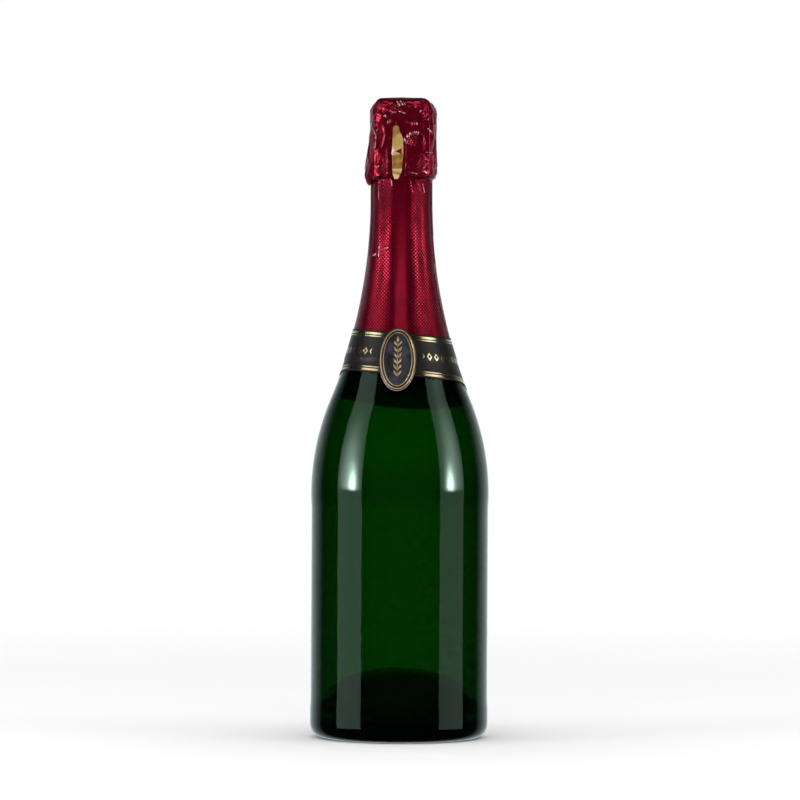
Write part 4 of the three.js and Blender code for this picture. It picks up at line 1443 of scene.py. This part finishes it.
def neck_label():
    steps = (360 + LABEL_LAP) * LABEL_STEPS_PER_DEGREE + 1
    angles = [math.radians(step / LABEL_STEPS_PER_DEGREE - 180) for step in range(steps)]
    grid = [[] for _ in range(LABEL_ROWS)]
    for angle, across in zip(angles, label_lengths(angles)):
        bottom, top = label_edges(angle)
        lifted = smooth(math.degrees(angle), 180 - LABEL_LAP, 180) * (LABEL_THICKNESS + LABEL_GAP)
        for i in range(LABEL_ROWS):
            z = bottom + (top - bottom) * i / (LABEL_ROWS - 1)
            radius = label_radius(z) + lifted
            ripple = wave_at(LABEL_RIPPLE, radius, angle, z) + fold_at(LABEL_FOLDS, radius, angle, z)[0]
            back = polar(radius + ripple, angle, z)
            front = polar(radius + ripple + LABEL_THICKNESS, angle, z)
            grid[i].append((front, back, (across, top - z), (across, z - bottom)))
    piece = shell("label_band", grid, [label_paper()], ("skin", "lower"))
    dress(piece, "bottle", "label_paper", "neck_label")


# The medallion's front from its field to its edge: inset from the edge, level, and the finish outside it
FIELD, GOLD, GAP, EDGE = 0, 1, 2, 3
MEDALLION_PROFILE = [
    (2.84, 0.55, FIELD), (2.64, 0.55, GOLD), (2.57, 0.62, GOLD), (2.47, 0.65, GOLD), (2.37, 0.62, GOLD),
    (2.3, 0.52, GAP), (1.48, 0.50, GAP), (1.4, 0.52, GOLD), (1.32, 0.70, GOLD), (1.2, 0.77, GOLD),
    (1.0, 0.77, GOLD), (0.86, 0.70, GOLD), (0.76, 0.52, GAP), (0.24, 0.48, EDGE), (0.05, 0.38, EDGE),
    (0.0, 0.25, EDGE), (0.0, 0.02, EDGE),
]
MEDALLION_STEPS = 120
FIELD_SHARES = [0, 0.12, 0.25, 0.4, 0.55, 0.7, 0.85]
BACK_SHARES = [0.98, 0.5, 0]


def medallion_spot(across, upward, level):
    z = MEDALLION_MIDDLE_Z + upward
    stand_off = 2 * LABEL_GAP + SLEEVE_STAND_OFF + LABEL_THICKNESS
    radius = shoulder_radius(z) + stand_off
    return polar(radius + level, math.radians(MEDALLION_ANGLE) + across / radius, z)


def medallion():
    half_width = MEDALLION_WIDTH / 2
    half_height = (MEDALLION_TOP - MEDALLION_BOTTOM) / 2

    def oval(inset, share, level):
        wide = (half_width - inset) * share
        tall = (half_height - inset) * share
        return [(wide * math.cos(turn), tall * math.sin(turn), level) for turn in turns(MEDALLION_STEPS)]

    field_inset, field_level, _ = MEDALLION_PROFILE[0]
    rings = [oval(field_inset, share, field_level) for share in FIELD_SHARES]
    rings += [oval(inset, 1, level) for inset, level, _ in MEDALLION_PROFILE]
    rings += [oval(0, share, 0) for share in BACK_SHARES]
    slots = [FIELD] * len(FIELD_SHARES) + [slot for _, _, slot in MEDALLION_PROFILE] + [FIELD, FIELD]
    field = dark_board("medallion_field", (0.006, 0.006, 0.007, 1), (0.034, 0.032, 0.045, 1), 0.32)
    gap = dark_board("medallion_gap", (0.010, 0.006, 0.004, 1), (0.022, 0.013, 0.008, 1), 0.45)
    edge = cut_edge()
    gold = ring_gold()
    piece = plate("medallion_plate", rings, [field, gold, gap, edge], slots, medallion_spot)
    dress(piece, "bottle", "medallion_board", "medallion")
    sprig = leaves("medallion_sprig", gold)
    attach(sprig, "bottle")


SPRIG_LEVEL = 0.55
SPRIG_RISE = 0.14
SPRIG_PAIRS = 6
SPRIG_PITCH = 2.9
SPRIG_FIRST = 0.4
TOP_LEAF_DROP = 1.5
LEAF_LENGTH = 3.6
LEAF_WIDTH = 1.15
LEAF_LEAN = 32
STEM_LENGTH = 19
STEM_WIDTH = 0.4
LEAF_STEPS = 18


def leaf(foot, lean, length, width):
    """A pointed leaf as a closed lens: rim points, then the middle of its crest and of its underside"""
    turn = math.radians(lean)
    rim = []
    for spin in turns(LEAF_STEPS):
        along = (1 - math.cos(spin)) / 2 * length
        aside = math.sin(spin) * abs(math.sin(spin)) ** 0.5 * width / 2
        across = foot[0] + along * math.sin(turn) + aside * math.cos(turn)
        upward = foot[1] + along * math.cos(turn) - aside * math.sin(turn)
        rim.append((across, upward, SPRIG_LEVEL))
    heart = (foot[0] + math.sin(turn) * length / 2, foot[1] + math.cos(turn) * length / 2)
    return rim + [(*heart, SPRIG_LEVEL + SPRIG_RISE), (*heart, SPRIG_LEVEL - SPRIG_RISE)]


def leaves(name, material):
    """An upright sprig of paired leaves"""
    shapes = [leaf((0, -STEM_LENGTH / 2), 0, STEM_LENGTH, STEM_WIDTH)]
    for i in range(SPRIG_PAIRS):
        foot = (0, -STEM_LENGTH / 2 + SPRIG_PITCH * (i + SPRIG_FIRST))
        shapes += [leaf(foot, lean, LEAF_LENGTH, LEAF_WIDTH) for lean in (-LEAF_LEAN, LEAF_LEAN)]
    shapes.append(leaf((0, STEM_LENGTH / 2 - TOP_LEAF_DROP), 0, LEAF_LENGTH, LEAF_WIDTH))
    points = []
    faces = []
    for shape in shapes:
        first = len(points)
        points += [medallion_spot(*spot) for spot in shape]
        for k in range(LEAF_STEPS):
            after = first + (k + 1) % LEAF_STEPS
            faces.append((first + k, after, first + LEAF_STEPS))
            faces.append((after, first + k, first + LEAF_STEPS + 1))
    return solid(name, points, faces, [material])


# Studio

FLOOR_HALF = 9000
FLOOR_DROP = 0.02
FLOOR_WHITE_FROM = 250
FLOOR_WHITE_TO = 1100
FLOOR_TONE = 0.9
FLOOR_FLECK = 0.01
BOX_DISTANCE = 950
BOX_WIDTH = 640
BOX_LOW = -200
BOX_HIGH = 1000
LAMP_FOOT = 122
LAMP_FULL = 160
LAMP_WIDTH = 80
LAMP_HEIGHT = 104
LAMP_LEVEL = 28
GLOW_WIDTH = 190
GLOW_SHIFT = 76
NECK_LIGHT_AWAY = 100
NECK_LIGHT_LOW = 246
NECK_LIGHT_HIGH = 262
NECK_LIGHT_HALF = 25
NECK_LIGHT_LEVEL = 1.25
OVERHEAD_ELEVATION = 62
OVERHEAD_DISTANCE = 1000
OVERHEAD_WIDTH = 420
OVERHEAD_HEIGHT = 380
OVERHEAD_LEVEL = 3.0
BACK_LOW = 0.5
BACK_HIGH = 1.0
BACK_LEVEL = 0.85
BACK_RISE_LOW = 0.12
BACK_RISE_HIGH = 0.4
BACK_TOP = 0.1
BACK_TINT = (0.85, 0.98, 1, 1)
FRONT_LEVEL = 0.015
SOFT_LEVEL = 0.95


def flat_panel(name, middle, aside, upward, material):
    """A rectangle given by its middle and half its sides, in millimetres"""
    low = middle - upward
    high = middle + upward
    corners = [low - aside, low + aside, high + aside, high - aside]
    mesh = bpy.data.meshes.new(name)
    mesh.from_pydata([corner * MM for corner in corners], [], [(0, 1, 2, 3)])
    mesh.materials.append(material)
    panel = added(name, mesh)
    return panel


def bare_tree(block):
    """The emptied node tree of a material or a world"""
    block.use_nodes = True
    block.node_tree.nodes.clear()
    return block.node_tree


def show(tree, shader, kind="OutputMaterial"):
    """Sends a shader to the tree's output"""
    tree.links.new(shader.outputs[0], node(tree, kind).inputs["Surface"])


def seen(tree, *kinds):
    """1 for the kinds of ray that see the background itself"""
    rays = node(tree, "LightPath")
    total = 0.0
    for kind in kinds:
        total = calc(tree, "MAXIMUM", total, rays.outputs[kind])
    return total


def floor():
    """A pale floor that takes the bottle's shadow and turns into the white background further off"""
    material = bpy.data.materials.new("pale_floor")
    tree = bare_tree(material)
    far = node(tree, "VectorMath", {0: place(tree)}, operation="LENGTH").outputs["Value"]
    far = spread(tree, far, FLOOR_WHITE_FROM * MM, FLOOR_WHITE_TO * MM, 0.0, 1.0, eased=True)
    white = calc(tree, "MULTIPLY", far, seen(tree, "Is Camera Ray", "Is Glossy Ray", "Is Transmission Ray"))
    fleck = spread(tree, grain(tree, 20), 0, 1, FLOOR_TONE - FLOOR_FLECK, FLOOR_TONE + FLOOR_FLECK)
    paint = node(tree, "BsdfDiffuse", {"Color": fleck})
    glow = node(tree, "Emission", {"Color": WHITE, "Strength": 1.0})
    show(tree, node(tree, "MixShader", {0: white, 1: paint.outputs[0], 2: glow.outputs[0]}))
    middle = Vector((0, 0, -FLOOR_DROP))
    panel = flat_panel("floor", middle, Vector((FLOOR_HALF, 0, 0)), Vector((0, FLOOR_HALF, 0)), material)
    panel.visible_glossy = False


def light_panel(name, middle, aside, upward, strength_of):
    """A panel that gives light, and that the eye doesn't see. strength_of builds its strength."""
    material = bpy.data.materials.new(name)
    tree = bare_tree(material)
    show(tree, node(tree, "Emission", {"Color": WHITE, "Strength": strength_of(tree)}))
    panel = flat_panel(name, middle, aside, upward, material)
    panel.visible_camera = False
    panel.visible_transmission = False


def hump(tree, *distances):
    """A bell-shaped spot of light over distances, each given with its width"""
    total = 0.0
    for distance, width in distances:
        total = calc(tree, "ADD", total, calc(tree, "POWER", calc(tree, "DIVIDE", distance, width * MM), 2.0))
    return calc(tree, "EXPONENT", calc(tree, "MULTIPLY", total, -1.0))


def softbox(name, azimuth, lamp_azimuth, level, glow_level, glow_height):
    """An upright side light with a hot lamp near its foot, in a glow that fades upwards"""
    middle = polar(BOX_DISTANCE, math.radians(azimuth), 0)
    aside = polar(BOX_WIDTH / 2, math.radians(azimuth) + math.pi / 2, 0)
    offset = BOX_DISTANCE * math.tan(math.radians(lamp_azimuth - azimuth))
    outward = math.copysign(GLOW_SHIFT, azimuth)
    lamp = middle + aside.normalized() * offset
    glow = middle + aside.normalized() * (offset + outward)

    def strength(tree):
        height = axes(tree)[2]
        inputs = {0: place(tree), 1: (1, 1, 0)}
        level_spot = node(tree, "VectorMath", inputs, operation="MULTIPLY").outputs[0]
        away = []
        for centre in (lamp, glow):
            inputs = {0: level_spot, 1: centre * MM}
            away.append(node(tree, "VectorMath", inputs, operation="DISTANCE").outputs["Value"])
        up = calc(tree, "SUBTRACT", height, LAMP_FULL * MM)
        above = spread(tree, height, LAMP_FOOT * MM, LAMP_FULL * MM, 0.0, 1.0, eased=True)
        hot = calc(tree, "MULTIPLY", hump(tree, (away[0], LAMP_WIDTH), (up, LAMP_HEIGHT)), LAMP_LEVEL)
        soft = calc(tree, "MULTIPLY", hump(tree, (away[1], GLOW_WIDTH), (up, glow_height)), glow_level)
        return calc(tree, "ADD", calc(tree, "MULTIPLY", calc(tree, "ADD", hot, soft), above), level)

    raised = middle + Vector((0, 0, (BOX_LOW + BOX_HIGH) / 2))
    light_panel(name, raised, aside, Vector((0, 0, (BOX_HIGH - BOX_LOW) / 2)), strength)


def neck_light():
    """A small light close to the neck, which the hollow of the foil mirrors and the shoulder doesn't"""
    middle = Vector((0, -NECK_LIGHT_AWAY, (NECK_LIGHT_LOW + NECK_LIGHT_HIGH) / 2))
    upward = Vector((0, 0, (NECK_LIGHT_HIGH - NECK_LIGHT_LOW) / 2))
    light_panel("neck_light", middle, Vector((NECK_LIGHT_HALF, 0, 0)), upward, lambda tree: NECK_LIGHT_LEVEL)


def overhead_light():
    """A light above the camera, too high for the glass to mirror"""
    rise = math.radians(OVERHEAD_ELEVATION)
    middle = Vector((0, -math.cos(rise), math.sin(rise))) * OVERHEAD_DISTANCE + Vector((0, 0, SLEEVE_TOP))
    aside = Vector((OVERHEAD_WIDTH / 2, 0, 0))
    upward = Vector((0, math.sin(rise), math.cos(rise))) * OVERHEAD_HEIGHT / 2
    light_panel("overhead_light", middle, aside, upward, lambda tree: OVERHEAD_LEVEL)


def world():
    """White for the eye and through glass. Gloss sees it behind the bottle, and a dim room in front."""
    sky = bpy.data.worlds.new("studio")
    bpy.context.scene.world = sky
    tree = bare_tree(sky)
    direction = node(tree, "TexCoord").outputs["Generated"]
    _, depth, upward = node(tree, "SeparateXYZ", {0: direction}).outputs
    behind = spread(tree, depth, BACK_LOW, BACK_HIGH, FRONT_LEVEL, BACK_LEVEL)
    fading = spread(tree, upward, BACK_RISE_LOW, BACK_RISE_HIGH, 1.0, BACK_TOP)
    behind = calc(tree, "MULTIPLY", behind, fading)
    gloss = seen(tree, "Is Glossy Ray")
    eye = seen(tree, "Is Camera Ray", "Is Transmission Ray")
    level = node(tree, "Mix", {0: gloss, 2: SOFT_LEVEL, 3: behind}, data_type="FLOAT").outputs[0]
    level = node(tree, "Mix", {0: eye, 2: level, 3: 1.0}, data_type="FLOAT").outputs[0]
    gloss_only = calc(tree, "SUBTRACT", gloss, calc(tree, "MULTIPLY", gloss, eye))
    tint = blend(tree, gloss_only, WHITE, BACK_TINT)
    glow = node(tree, "Background", {"Color": tint, "Strength": level})
    show(tree, glow, "OutputWorld")


def studio():
    floor()
    world()
    softbox("softbox_left", azimuth=-68, lamp_azimuth=-63.2, level=0.75, glow_level=5.7, glow_height=320)
    softbox("softbox_right", azimuth=71, lamp_azimuth=67.6, level=0.58, glow_level=3.3, glow_height=480)
    overhead_light()
    neck_light()


# Camera

CAMERA_DISTANCE = 2000
CAMERA_HEIGHT = 167.6
FIELD_WIDTH = 398
CAMERA_ROLL = 0.3
CAMERA_ASIDE = -0.2


def camera():
    lens = bpy.data.cameras.new("camera")
    lens.sensor_width = 36
    lens.lens = lens.sensor_width * CAMERA_DISTANCE / FIELD_WIDTH
    lens.clip_end = 100
    eye = added("camera", lens)
    level = Matrix.Rotation(math.pi / 2, 4, "X") @ Matrix.Rotation(math.radians(CAMERA_ROLL), 4, "Z")
    stand = Vector((CAMERA_ASIDE, -CAMERA_DISTANCE, CAMERA_HEIGHT)) * MM
    eye.matrix_world = Matrix.Translation(stand) @ level
    bpy.context.scene.camera = eye


glass_bottle()
wine()
corks()
plaque()
cage()
foil_hood()
foil_sleeve()
pull_tab()
neck_label()
medallion()
studio()
camera()
bpy.context.scene.view_settings.view_transform = "Standard"
